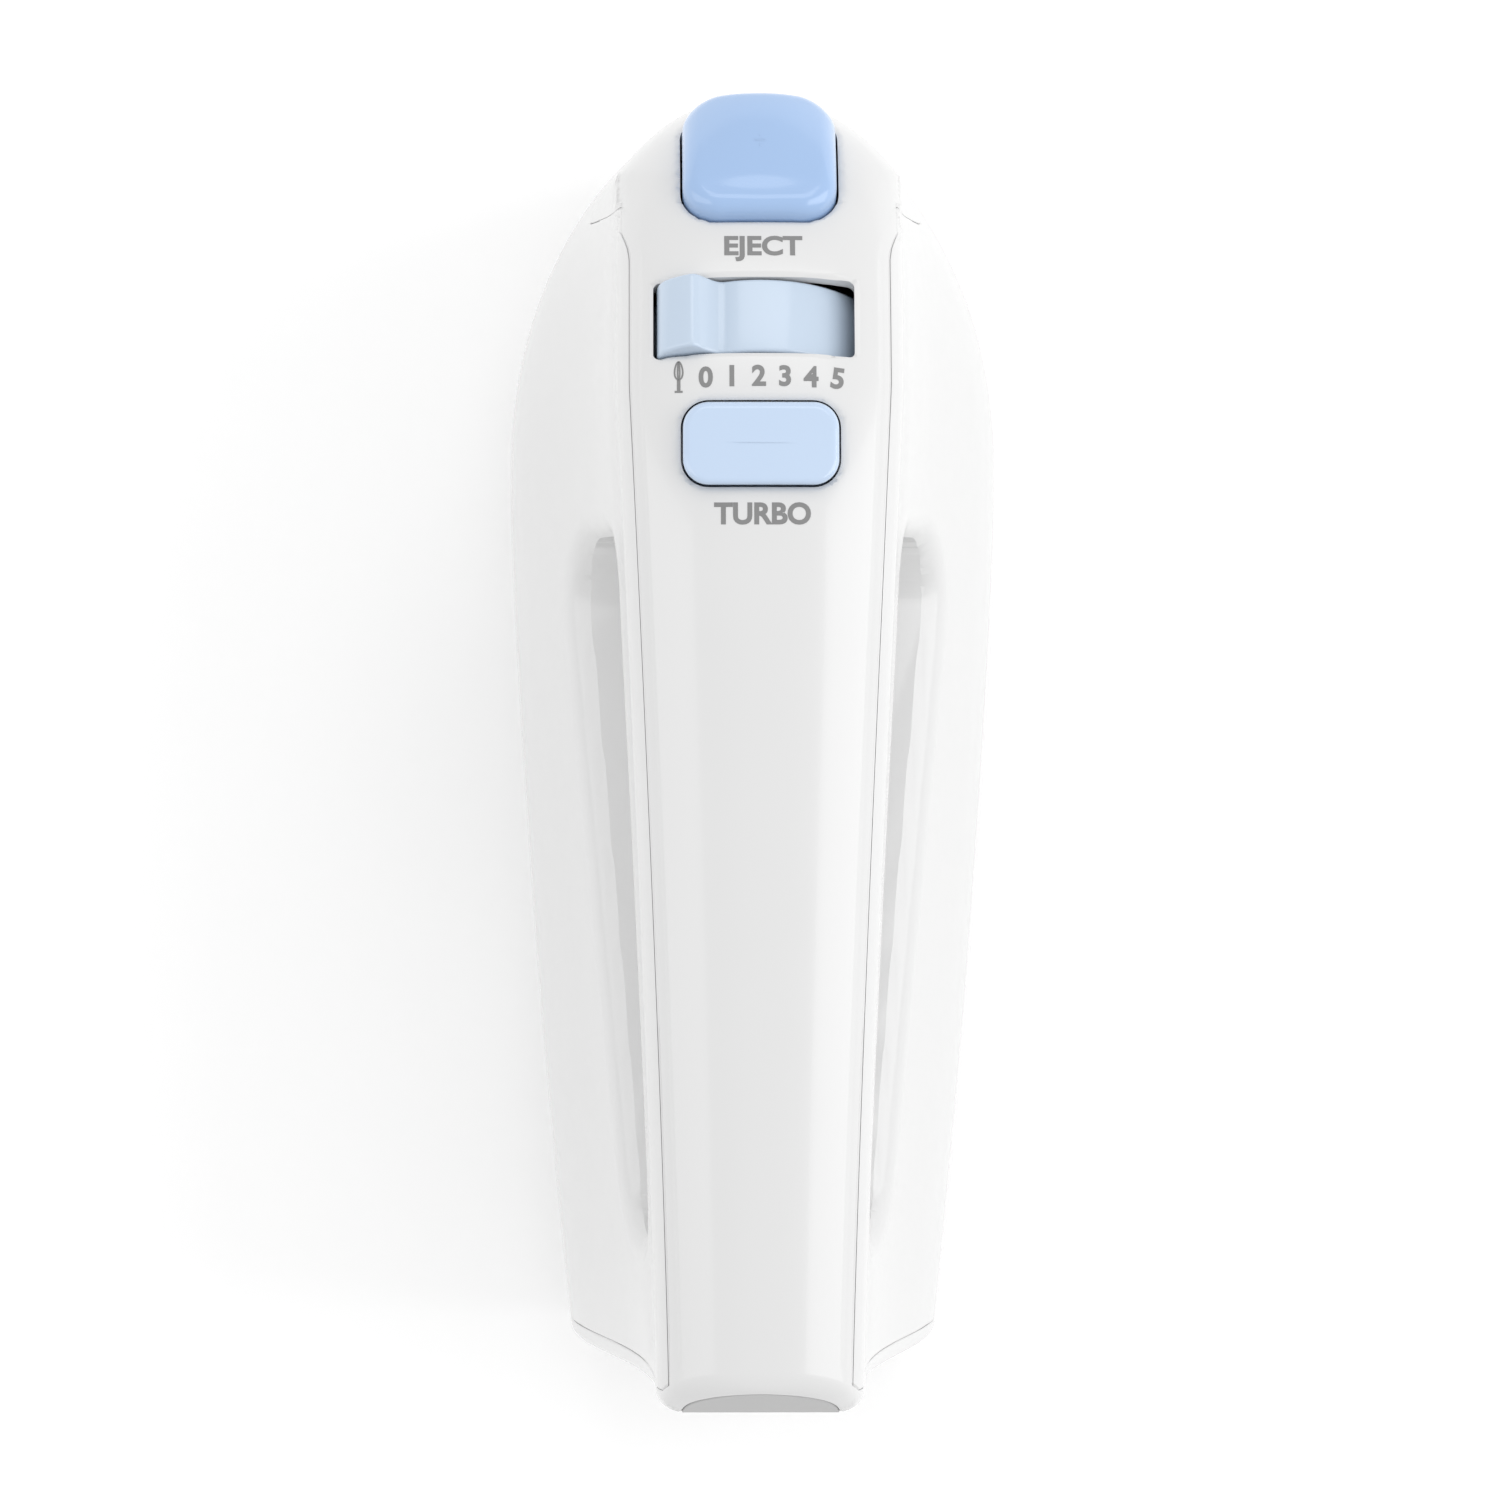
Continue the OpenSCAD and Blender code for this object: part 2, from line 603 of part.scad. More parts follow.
// Distance from the heel of the middle of the rear cheek at height z
function cheek_s(z) = let (y = -roller_l / 2 - cheek_gap - cheek_t / 2)
    roller_s + y * cos(roller_tilt)
        + (z - top_z(roller_s) + y * sin(roller_tilt)) * tan(roller_tilt);
module control_bracket() {
    inner = roller_l / 2 + cheek_gap;
    low = -roller_r - 3;
    color(natural) placed() difference() {
        union() {
            at_roller() {
                for (y = [-inner - cheek_t, inner]) translate([-8, y, low]) cube([16, cheek_t, roller_r - 5 - low]);
                translate([-8, -inner - cheek_t, low]) cube([16, 2 * (inner + cheek_t), 1.6]);
            }
            translate([-16.2, rear_post_s - 3.6, shelf_z])
                cube([32.4, 7.2, 1.5]);
            translate([-10, rear_post_s, shelf_z]) cube([20, cheek_s(shelf_z + 0.75) - rear_post_s, 1.5]);
        }
        at_roller() rotate([90, 0, 0]) translate([0, 0, -20])
            cylinder(40, axle_r + fix_gap, axle_r + fix_gap, $fn = 48);
        for (x = [-1, 1]) translate([x * rear_post_x, rear_post_s, 0])
            cylinder(body_h, screw_r + fix_gap, screw_r + fix_gap, $fn = 32);
        translate([0, turbo_s, 0]) cylinder(body_h, stem_r + 0.3, stem_r + 0.3, $fn = 32);
    }
}
module control_screws() {
    color(steel) placed() for (x = [-1, 1]) translate([x * rear_post_x, rear_post_s, shelf_z - head_h + 0.6])
        screw(8);
}
// How far the crown has dropped at x from the middle
function crown_dip(s, x) = crown_h(s, 0) * (1 - pow(1 - pow(x / crown_x(s), crown_n), 1 / crown_n));
lip_out = 1.2;
lip_t = 1.2;
deck_slope = (top_z(turbo_s + turbo_l / 2) - top_z(turbo_s - turbo_l / 2)) / turbo_l;
lip_reach = turbo_l / 2 + lip_out;
lip_sag = max(top_z(turbo_s) + deck_slope * lip_reach - top_z(turbo_s + lip_reach),
    top_z(turbo_s) - deck_slope * lip_reach - top_z(turbo_s - lip_reach));
lip_z = top_z(turbo_s) - wall - 1.3 - 2.5 * lip_sag - crown_dip(turbo_s, key_w / 2 + 1.5);
module turbo_button() {
    s = turbo_s;
    half = turbo_l / 2;
    slope = deck_slope;
    zc = top_z(s);
    lip = lip_t;
    out = lip_out;
    under = lip_z;
    color(ice) placed() {
        intersection() {
            translate([0, s, shelf_z]) pill(key_w, turbo_l, body_h, 4);
            rotate([90, 0, 90]) linear_extrude(key_w + 2, center = true)
                polygon([[s - half, under - lip - slope * half], [s - half, zc + key_rise - 0.5 - slope * half],
                    [s - half + 1, zc + key_rise - slope * (half - 1)],
                    [s + half - 1, zc + key_rise + slope * (half - 1)],
                    [s + half, zc + key_rise - 0.5 + slope * half], [s + half, under - lip + slope * half]]);
        }
        rotate([90, 0, 90]) linear_extrude(key_w + 3, center = true)
            polygon([[s - half - out, under - lip - slope * (half + out)],
                [s - half - out, under - slope * (half + out)], [s + half + out, under + slope * (half + out)],
                [s + half + out, under - lip + slope * (half + out)]]);
        translate([0, s, shelf_z - 3]) cylinder(under - shelf_z + 2.4, stem_r, stem_r, $fn = 32);
    }
}
module turbo_spring() {
    h = lip_z - lip_t - 1.2 - shelf_z - 1.5;
    color(steel) placed() translate([0, turbo_s, shelf_z + 1.55]) coil(stem_r + 1.3, 0.4, h, 3);
}
module turbo_switch() {
    top = shelf_z - 3 - turbo_travel - 0.3;
    color(black) placed() {
        translate([-10, turbo_s - 3, top - 7.6]) cube([20, 5, 7.2]);
        translate([0, turbo_s, top - 0.6]) cylinder(0.6, 1.4, 1.4, $fn = 24);
        for (x = [-9.6, 8.4]) translate([x, turbo_s - 3, top - 0.5]) cube([1.2, 5, shelf_z - top + 0.5]);
    }
}
board_s = rear_wall_s + 4;
board_z = cover_z + cover_t;
module control_board() {
    color(green) placed() translate([-16, board_s, board_z]) cube([32, 1.6, 42]);
}
module capacitor() {
    color("#3C62A8") placed() translate([-9, board_s + 1.6, board_z + 9]) rotate([-90, 0, 0])
        cylinder(9, 4.6, 4.6, $fn = 40);
}
module heat_sink() {
    color(steel) placed() translate([3, board_s + 1.6, board_z + 4]) {
        cube([12, 1.6, 18]);
        for (i = [0 : 3]) translate([i * 3.4, 1.5, 0]) cube([1.2, 6, 18]);
    }
}

// ---------- motor ----------
module along(s) {
    translate([0, s, axis_z]) rotate([-90, 0, 0]) children();
}
module ring(l, r_out, r_in) {
    difference() {
        cylinder(l, r_out, r_out, $fn = 64);
        translate([0, 0, -1]) cylinder(l + 2, r_in, r_in, $fn = 64);
    }
}
bearing_r = shaft_r + run_gap + 3.5;
bridge_x = 14;
chassis_r = spindle_r + bush_wall + 2;
module chassis() {
    saddle = axis_z - stator_w / 2;
    color(graphite) placed() difference() {
        union() {
            translate([-bridge_x, tail_s, base_t]) cube([2 * bridge_x, rear_wall_s - tail_s + 1, plate_t]);
            translate([-24, rear_wall_s, base_t + 0.4])
                cube([48, front_wall_s + wall_t - rear_wall_s, plate_t - 0.4]);
            for (x = [-1, 1]) translate([x * spindle_x, gear_s, base_t + 0.4])
                cylinder(plate_t - 0.4, chassis_r, chassis_r, $fn = 64);
            translate([-bridge_x, stack_s, plate_top - 1]) cube([2 * bridge_x, stack_l, saddle - plate_top + 1]);
            translate([-10, tail_s, plate_top - 1]) cube([20, bearing_l, axis_z + bearing_r + 3 - plate_top]);
            translate([-bridge_x, bearing_s, plate_top - 1])
                cube([2 * bridge_x, bearing_l, axis_z + bearing_r + 3 - plate_top]);
            for (s = [rear_wall_s, front_wall_s]) translate([-24, s, plate_top - 1])
                cube([48, wall_t, cover_z - plate_top + 1]);
            for (x = [-1, 1]) translate([x * 17 - 3, comm_s + 1, plate_top - 4])
                cube([6, comm_l - 2, axis_z - 4 - plate_top + 4]);
            translate([-20, comm_s + 1, base_t]) cube([40, comm_l - 2, plate_t]);
        }
        for (s = [tail_s, bearing_s, front_wall_s]) along(s - 1)
            cylinder(bearing_l + 2, bearing_r + fix_gap, bearing_r + fix_gap, $fn = 64);
        along(rear_wall_s - 1) cylinder(wall_t + 2, shaft_r + 1.5, shaft_r + 1.5, $fn = 64);
        for (x = [-1, 1]) translate([x * spindle_x, gear_s, 0])
            cylinder(axis_z / 2, spindle_r + run_gap + bush_wall + fix_gap,
                spindle_r + run_gap + bush_wall + fix_gap, $fn = 64);
        each_chassis_screw() cylinder(plate_top + 1, screw_r + fix_gap, screw_r + fix_gap, $fn = 32);
        each_gearbox_screw() translate([0, 0, cover_z - 8]) cylinder(9, screw_r + fix_gap, screw_r + fix_gap, $fn = 32);
    }
}
module each_gearbox_screw() {
    for (x = [-1, 1], s = [rear_wall_s + wall_t / 2, front_wall_s + wall_t / 2])
        translate([x * 20.5, s, 0]) children();
}
module chassis_screws() {
    color(steel) placed() each_chassis_screw() translate([0, 0, plate_top + head_h - 0.6]) mirror([0, 0, 1])
        screw(7);
}
module gearbox_screws() {
    color(steel) placed() each_gearbox_screw() translate([0, 0, cover_z + cover_t + head_h - 0.6])
        mirror([0, 0, 1]) screw(10);
}
module stator_stack() {
    w = stator_w / 2;
    c = 6;
    color(steel) placed() along(stack_s) linear_extrude(stack_l) difference() {
        polygon([[-w + c, -w], [w - c, -w], [w, -w + c], [w, w - c], [w - c, w], [-w + c, w],
            [-w, w - c], [-w, -w + c]]);
        circle(rotor_r + air_gap, $fn = 96);
        for (m = [0, 1]) mirror([0, m]) translate([-13, rotor_r - 2]) square([26, 4.4]);
    }
}
module field_coils() {
    color(copper) placed() for (m = [0, 1]) translate([0, 0, axis_z]) mirror([0, 0, m])
        translate([0, stack_s - 3.6, rotor_r - 1.4]) difference() {
            translate([-12.4, 0, 0]) cube([24.8, stack_l + 7.2, 3.2]);
            translate([-8.6, 3, -1]) cube([17.2, stack_l + 1.2, 6]);
        }
}
module rear_bearing() {
    color(brass) placed() along(tail_s) ring(bearing_l, bearing_r, shaft_r + run_gap);
}
module front_bearing() {
    color(brass) placed() along(bearing_s) ring(bearing_l, bearing_r, shaft_r + run_gap);
}
module end_bush() {
    color(brass) placed() along(front_wall_s) ring(wall_t, bearing_r, shaft_r + run_gap);
}
comm_r = 9.5;
brush_in = comm_r + 0.15;
brush_w = 4;
brush_h = 6;
brush_len = 8;
module brush_holders() {
    color(brass) placed() for (x = [0, 1]) mirror([x, 0, 0]) translate([0, comm_s + comm_l / 2, axis_z])
        difference() {
            translate([11, -brush_w / 2 - 1.1, -brush_h / 2 - 1]) cube([15, brush_w + 2.2, brush_h + 2]);
            translate([10, -brush_w / 2 - 0.1, -brush_h / 2 - 0.1]) cube([15, brush_w + 0.2, brush_h + 0.2]);
        }
}
module carbon_brushes() {
    color(black) placed() for (x = [0, 1]) mirror([x, 0, 0]) translate([0, comm_s + comm_l / 2, axis_z])
        difference() {
            translate([brush_in - 0.3, -brush_w / 2, -brush_h / 2]) cube([brush_len, brush_w, brush_h]);
            rotate([90, 0, 0]) cylinder(brush_w + 2, brush_in, brush_in, center = true, $fn = 64);
        }
}
module brush_springs() {
    reach = brush_in - 0.3 + brush_len;
    color(steel) placed() for (x = [0, 1]) mirror([x, 0, 0])
        translate([reach + 0.05, comm_s + comm_l / 2, axis_z]) rotate([0, 90, 0])
            coil(1.3, 0.3, 25 - reach - 0.1, 4);
}
module motor_shaft() {
    color(steel) placed() along(tail_s + 1)
        cylinder(front_wall_s + wall_t - 0.5 - tail_s - 1, shaft_r, shaft_r, $fn = 64);
}
module rotor_stack() {
    color(steel) placed() along(stack_s) linear_extrude(stack_l) difference() {
        circle(rotor_r, $fn = 96);
        circle(shaft_r + fix_gap, $fn = 64);
        for (i = [0 : 11]) rotate(i * 30) translate([rotor_r - 3.4, -0.9]) square([5, 1.8]);
    }
}
module rotor_winding() {
    color(copper) placed() for (s = [stack_s - 3.5, stack_s + stack_l]) along(s)
        rotate_extrude($fn = 64) polygon([[shaft_r + 0.4, 0.4], [rotor_r - 4, 0], [rotor_r - 2.4, 0.8],
            [rotor_r - 2.4, 2.7], [rotor_r - 4, 3.5], [shaft_r + 0.4, 3.1]]);
}
module commutator() {
    color(copper) placed() along(comm_s) linear_extrude(comm_l) difference() {
        circle(comm_r, $fn = 96);
        circle(shaft_r + fix_gap, $fn = 64);
        for (i = [0 : 23]) rotate(i * 15) translate([comm_r - 1.2, -0.2]) square([3, 0.4]);
    }
}
module cooling_fan() {
    color(natural) placed() along(fan_s) {
        ring(fan_l, shaft_r + 3, shaft_r + fix_gap);
        ring(1.4, fan_r, shaft_r + 2);
        for (i = [0 : 8]) rotate(i * 40) translate([shaft_r + 2, -0.6, 0]) cube([fan_r - shaft_r - 2.4, 1.2, fan_l]);
    }
}
// One thread of the worm, as short pieces along its helix, on a solid core
module worm() {
    seg = 20;
    root = worm_r - 1.3;
    tip = worm_r + 1.1;
    turns = worm_l / lead - 1;
    n = floor(turns * seg);
    color(steel) placed() along(gear_s) difference() {
        union() {
            translate([0, 0, -worm_l / 2]) cylinder(worm_l, root, root, $fn = 40);
            for (i = [0 : n - 1]) hull() for (k = [0, 1]) let (a = (i + k - n / 2) * 360 / seg)
                rotate([0, 0, worm_phase - a]) translate([0, 0, a * lead / 360]) thread_slice(root, tip);
        }
        cylinder(worm_l * 2, shaft_r + 0.04, shaft_r + 0.04, center = true, $fn = 64);
    }
}
worm_phase = 0;
module thread_slice(root, tip) {
    h = thread_t;
    rotate([90, 0, 0]) linear_extrude(0.02, center = true)
        polygon([[root - 0.5, -h / 2 - 0.4], [root - 0.5, h / 2 + 0.4], [tip, h / 2 - 0.35],
            [tip, -h / 2 + 0.35]]);
}
// A wheel whose teeth lean with the worm's thread
module wheel(phase) {
    z0 = wheel_z;
    root = wheel_r - 1.5;
    translate([0, 0, z0]) difference() {
        union() {
            cylinder(wheel_w, root, root, $fn = 72);
            for (i = [0 : wheel_teeth - 1]) rotate(phase + i * 360 / wheel_teeth)
                translate([root - 0.6, 0, wheel_w / 2]) rotate([lead_angle, 0, 0])
                    rotate([90, 0, 90]) translate([0, 0, 0])
                        linear_extrude(1.5 + 0.6 + tooth_out)
                            square([tooth_t, wheel_w - 0.8], center = true);
        }
        translate([0, 0, -1]) cylinder(wheel_w + 2, journal_r + 0.5 + fix_gap, journal_r + 0.5 + fix_gap, $fn = 64);
    }
}
module left_wheel() {
    color(natural) placed() translate([-spindle_x, gear_s, 0]) wheel(0);
}
module right_wheel() {
    color(natural) placed() translate([spindle_x, gear_s, 0]) wheel(180 + 180 / wheel_teeth);
}
module spindle() {
    rotate_extrude($fn = 64) polygon([[socket_r, spindle_bottom], [spindle_r, spindle_bottom],
        [spindle_r, wheel_z], [journal_r + 0.5, wheel_z], [journal_r + 0.5, cover_z - 1.5],
        [journal_r, cover_z - 1.5], [journal_r, spindle_top], [socket_r, spindle_top]]);
}
module left_spindle() {
    color(steel) placed() translate([-spindle_x, gear_s, 0]) spindle();
}
module right_spindle() {
    color(steel) placed() translate([spindle_x, gear_s, 0]) spindle();
}
module beater_clip() {
    translate([0, 0, plate_top + 8]) difference() {
        ring(2.4, spindle_r + 1.6, spindle_r + fix_gap);
        translate([spindle_r - 1, -0.6, -1]) cube([4, 1.2, 5]);
    }
}
module left_beater_clip() {
    color(steel) placed() translate([-spindle_x, gear_s, 0]) beater_clip();
}
module right_beater_clip() {
    color(steel) placed() translate([spindle_x, gear_s, 0]) beater_clip();
}
module gearbox_cover() {
    color(natural) placed() difference() {
        union() {
            translate([-24, rear_wall_s, cover_z]) cube([48, front_wall_s + wall_t - rear_wall_s, cover_t]);
            for (x = [-1, 1]) translate([x * spindle_x, gear_s, cover_z])
                cylinder(cover_t, journal_r + bush_wall + 3, journal_r + bush_wall + 3, $fn = 64);
            translate([0, guide_s, cover_z + cover_t - 1])
                cylinder(lift_z + lift_t + 1 - cover_z - cover_t, guide_r, guide_r, $fn = 48);
        }
        for (x = [-1, 1]) translate([x * spindle_x, gear_s, cover_z - 1])
            cylinder(cover_t + 2, journal_r + run_gap + bush_wall - 0.7 + fix_gap,
                journal_r + run_gap + bush_wall - 0.7 + fix_gap, $fn = 64);
        each_gearbox_screw() translate([0, 0, cover_z - 1])
            cylinder(9, screw_r + fix_gap, screw_r + fix_gap, $fn = 32);
    }
}
module spindle_bushes() {
    color(brass) placed() for (x = [-1, 1]) translate([x * spindle_x, gear_s, 0]) {
        translate([0, 0, base_t + 0.2]) ring(plate_t + 3, spindle_r + run_gap + bush_wall, spindle_r + run_gap);
        translate([0, 0, cover_z]) ring(cover_t, journal_r + run_gap + bush_wall - 0.7, journal_r + run_gap);
    }
}
// Two wires from the gland along the floor of the housing to the board
module supply_wires() {
    r = 1.1;
    side = stator_w / 2 + 3.6;
    route = [[2, heel_s(gland_z) + 17.5, gland_z], [14, tail_s - 8, 30], [side, comm_s + 4, 34],
        [side + 1, fan_s, 34], [side - 2, rear_wall_s - 16, 44], [20, board_s - 6, 60],
        [14, board_s - r - 0.1, board_z + 20]];
    seg = 8;
    n = len(route) - 1;
    color(copper) placed() for (i = [0 : n - 1]) hull() for (p = [route[i], route[i + 1]])
        translate(p) sphere(r, $fn = seg);
}

top_cover();
left_shell();
right_shell();
base_cover();
base_screws();
heel_plate();
heel_pads();
cord_gland();
eject_button();
ejector();
eject_spring();
speed_selector();
selector_axle();
selector_clip();
speed_switch();
control_bracket();
control_screws();
turbo_button();
turbo_spring();
turbo_switch();
control_board();
capacitor();
heat_sink();
chassis();
chassis_screws();
stator_stack();
field_coils();
rear_bearing();
front_bearing();
end_bush();
brush_holders();
carbon_brushes();
brush_springs();
motor_shaft();
rotor_stack();
rotor_winding();
commutator();
cooling_fan();
worm();
gearbox_cover();
gearbox_screws();
spindle_bushes();
left_spindle();
right_spindle();
left_wheel();
right_wheel();
left_beater_clip();
right_beater_clip();
supply_wires();
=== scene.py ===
"""Hand mixer: the finished looks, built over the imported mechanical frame."""

import json
import logging
import math
from dataclasses import dataclass, field
from enum import Enum
from typing import Any, Callable, Iterable, Sequence

import bmesh
import bpy
import numpy as np
from mathutils import Matrix, Vector
from mathutils.bvhtree import BVHTree


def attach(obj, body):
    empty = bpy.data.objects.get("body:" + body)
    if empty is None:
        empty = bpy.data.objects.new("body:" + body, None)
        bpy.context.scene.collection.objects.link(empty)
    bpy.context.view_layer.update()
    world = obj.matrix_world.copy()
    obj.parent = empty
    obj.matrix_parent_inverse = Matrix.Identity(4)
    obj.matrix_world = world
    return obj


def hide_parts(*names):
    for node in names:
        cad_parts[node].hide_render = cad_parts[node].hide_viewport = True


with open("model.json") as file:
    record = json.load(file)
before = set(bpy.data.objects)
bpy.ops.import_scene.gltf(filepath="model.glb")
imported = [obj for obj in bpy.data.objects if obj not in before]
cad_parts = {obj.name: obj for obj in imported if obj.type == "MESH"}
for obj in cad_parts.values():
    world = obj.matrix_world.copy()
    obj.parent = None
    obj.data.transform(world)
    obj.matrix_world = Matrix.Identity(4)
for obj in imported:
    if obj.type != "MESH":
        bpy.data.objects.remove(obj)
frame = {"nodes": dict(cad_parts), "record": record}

LOG = logging.getLogger("hand_mixer")
MM = 0.001
# A cut face counts as part of the moulded skin within this distance, in
# millimetres, and within this cosine of the skin's normal.
ON_SKIN_MM = 0.03
FACE_AGREES = 0.5
CORNER_AGREES = 0.3
Array = np.ndarray


# ---------------------------------------------------------------- small tools
def linear(hex_colour: str) -> tuple[float, float, float, float]:
    """Turn an sRGB hex colour into the linear colour that a shader takes.

    Args:
        hex_colour: Colour such as "#F0F0EE".

    Returns:
        Linear red, green, blue and an alpha of 1.
    """
    parts = [int(hex_colour[i : i + 2], 16) / 255 for i in (1, 3, 5)]
    r, g, b = [c / 12.92 if c <= 0.04045 else ((c + 0.055) / 1.055) ** 2.4 for c in parts]
    return (r, g, b, 1.0)


def ramp(x: Array, lo: float, hi: float) -> Array:
    """Smooth step from 0 at lo to 1 at hi."""
    t = np.clip((x - lo) / (hi - lo), 0.0, 1.0)
    return t * t * (3 - 2 * t)


def fillet(distance: Array, radius: float) -> Array:
    """Depth of a rounded edge at a distance from it.

    Args:
        distance: Millimetres from the edge, below 0 past it.
        radius: Radius of the rounding in millimetres.

    Returns:
        Millimetres that the surface drops.
    """
    d = np.clip(distance, 0.0, radius)
    return radius - np.sqrt(np.maximum(0.0, radius**2 - (radius - d) ** 2))


def roll(distance: Array, reach: float, depth: float) -> Array:
    """Depth of a soft rolled edge, which keeps falling a little past the edge.

    Args:
        distance: Millimetres from the edge, below 0 past it.
        reach: Distance at which the roll begins.
        depth: Depth at the edge.

    Returns:
        Millimetres that the surface drops.
    """
    return depth * np.clip(1 - distance / reach, 0.0, 1.4) ** 2.4


def rounded_box(x: Array, y: Array, width: float, length: float, radius: float) -> Array:
    """Signed distance from a rounded rectangle centred on the origin, below 0 inside.

    Args:
        x: Places across.
        y: Places along.
        width: Size across.
        length: Size along.
        radius: Corner radius.

    Returns:
        The signed distances.
    """
    qx = np.abs(x) - width / 2 + radius
    qy = np.abs(y) - length / 2 + radius
    outside = np.hypot(np.maximum(qx, 0), np.maximum(qy, 0))
    return outside + np.minimum(np.maximum(qx, qy), 0) - radius


def pill_outline(width: float, length: float, radius: float, steps: int = 16) -> Array:
    """Points of a rounded rectangle, anticlockwise from its right side.

    Args:
        width: Size across.
        length: Size along.
        radius: Corner radius.
        steps: Points in each corner.

    Returns:
        An array of 4 * (steps + 1) points.
    """
    points = []
    for k, (sx, sy) in enumerate(((1, 1), (-1, 1), (-1, -1), (1, -1))):
        for i in range(steps + 1):
            a = math.radians(90 * (k + i / steps))
            points.append(
                (
                    sx * (width / 2 - radius) + radius * math.cos(a),
                    sy * (length / 2 - radius) + radius * math.sin(a),
                )
            )
    return np.array(points)


class Op(Enum):
    """How a tool changes a solid."""

    CUT = "DIFFERENCE"
    KEEP = "INTERSECT"
    JOIN = "UNION"


def ring_faces(size: int, count: int) -> list[Sequence[int]]:
    """Faces between stacked closed rings.

    Args:
        size: Points in each ring.
        count: Number of rings.

    Returns:
        Corner numbers of each face.
    """
    faces: list[Sequence[int]] = []
    for i in range(count - 1):
        a, b = i * size, (i + 1) * size
        faces += [(a + j, a + (j + 1) % size, b + (j + 1) % size, b + j) for j in range(size)]
    return faces


@dataclass
class Solid:
    """A closed mesh in millimetres that other solids can cut.

    Args:
        points: Corner places.
        faces: Corner numbers of each face, anticlockwise from outside.
    """

    points: Array
    faces: list[Sequence[int]]

    def to_object(self, name: str = "tool") -> bpy.types.Object:
        """Make a Blender object of it, still in millimetres."""
        mesh = bpy.data.meshes.new(name)
        mesh.from_pydata([tuple(map(float, p)) for p in self.points], [], [tuple(f) for f in self.faces])
        obj = bpy.data.objects.new(name, mesh)
        bpy.context.scene.collection.objects.link(obj)
        return obj


def twin(obj: bpy.types.Object) -> bpy.types.Object:
    """Copy an object together with its mesh."""
    made = obj.copy()
    made.data = obj.data.copy()
    bpy.context.scene.collection.objects.link(made)
    return made


def drop(obj: bpy.types.Object) -> None:
    """Remove an object and its mesh."""
    mesh = obj.data
    bpy.data.objects.remove(obj)
    bpy.data.meshes.remove(mesh)


def combine(target: bpy.types.Object, tool: bpy.types.Object, op: Op) -> None:
    """Change one object by another with an applied Boolean, and drop the other.

    Args:
        target: Object that is changed.
        tool: Object that changes it.
        op: Cut, keep or join.
    """
    for solver in ("MANIFOLD", "EXACT"):
        step = target.modifiers.new("step", "BOOLEAN")
        step.operation = op.value
        step.object = tool
        step.solver = solver
        graph = bpy.context.evaluated_depsgraph_get()
        made = bpy.data.meshes.new_from_object(target.evaluated_get(graph))
        target.modifiers.remove(step)
        if len(made.polygons) > 3:
            break
        LOG.warning("%s by %s gave nothing with %s", target.name, tool.name, solver)
    old = target.data
    target.data = made
    bpy.data.meshes.remove(old)
    drop(tool)


def prism(outline: Array, lo: float, hi: float, place: Callable[[Array], Array] | None = None) -> Solid:
    """Solid of an outline drawn up along its third axis.

    Args:
        outline: Points, anticlockwise seen from the high end.
        lo: Low end.
        hi: High end.
        place: Moves the points into the housing's axes.

    Returns:
        The closed solid.
    """
    n = len(outline)
    low = np.column_stack([outline, np.full(n, lo)])
    high = np.column_stack([outline, np.full(n, hi)])
    points = np.vstack([low, high])
    if place is not None:
        points = place(points)
    faces: list[Sequence[int]] = [tuple(range(n - 1, -1, -1)), tuple(range(n, 2 * n))]
    return Solid(points, faces + ring_faces(n, 2))


def across(points: Array) -> Array:
    """Turn (along, up, across) points into (across, along, up) ones."""
    return points[:, [2, 0, 1]]


# ------------------------------------------------------------------ the form
@dataclass(frozen=True)
class Tilt:
    """Axes of a control that leans towards the nose, at the top surface.

    Args:
        s: Distance of its centre from the heel.
        z: Height of its centre.
        degrees: Lean towards the nose.
    """

    s: float
    z: float
    degrees: float

    def out(self, p: Array) -> Array:
        """Own axes to housing axes."""
        a = math.radians(self.degrees)
        y = self.s + p[..., 1] * math.cos(a) + p[..., 2] * math.sin(a)
        z = self.z - p[..., 1] * math.sin(a) + p[..., 2] * math.cos(a)
        return np.stack([p[..., 0], y, z], axis=-1)

    def inward(self, p: Array) -> Array:
        """Housing axes to own axes."""
        a = math.radians(self.degrees)
        dy, dz = p[..., 1] - self.s, p[..., 2] - self.z
        y = dy * math.cos(a) - dz * math.sin(a)
        z = dy * math.sin(a) + dz * math.cos(a)
        return np.stack([p[..., 0], y, z], axis=-1)


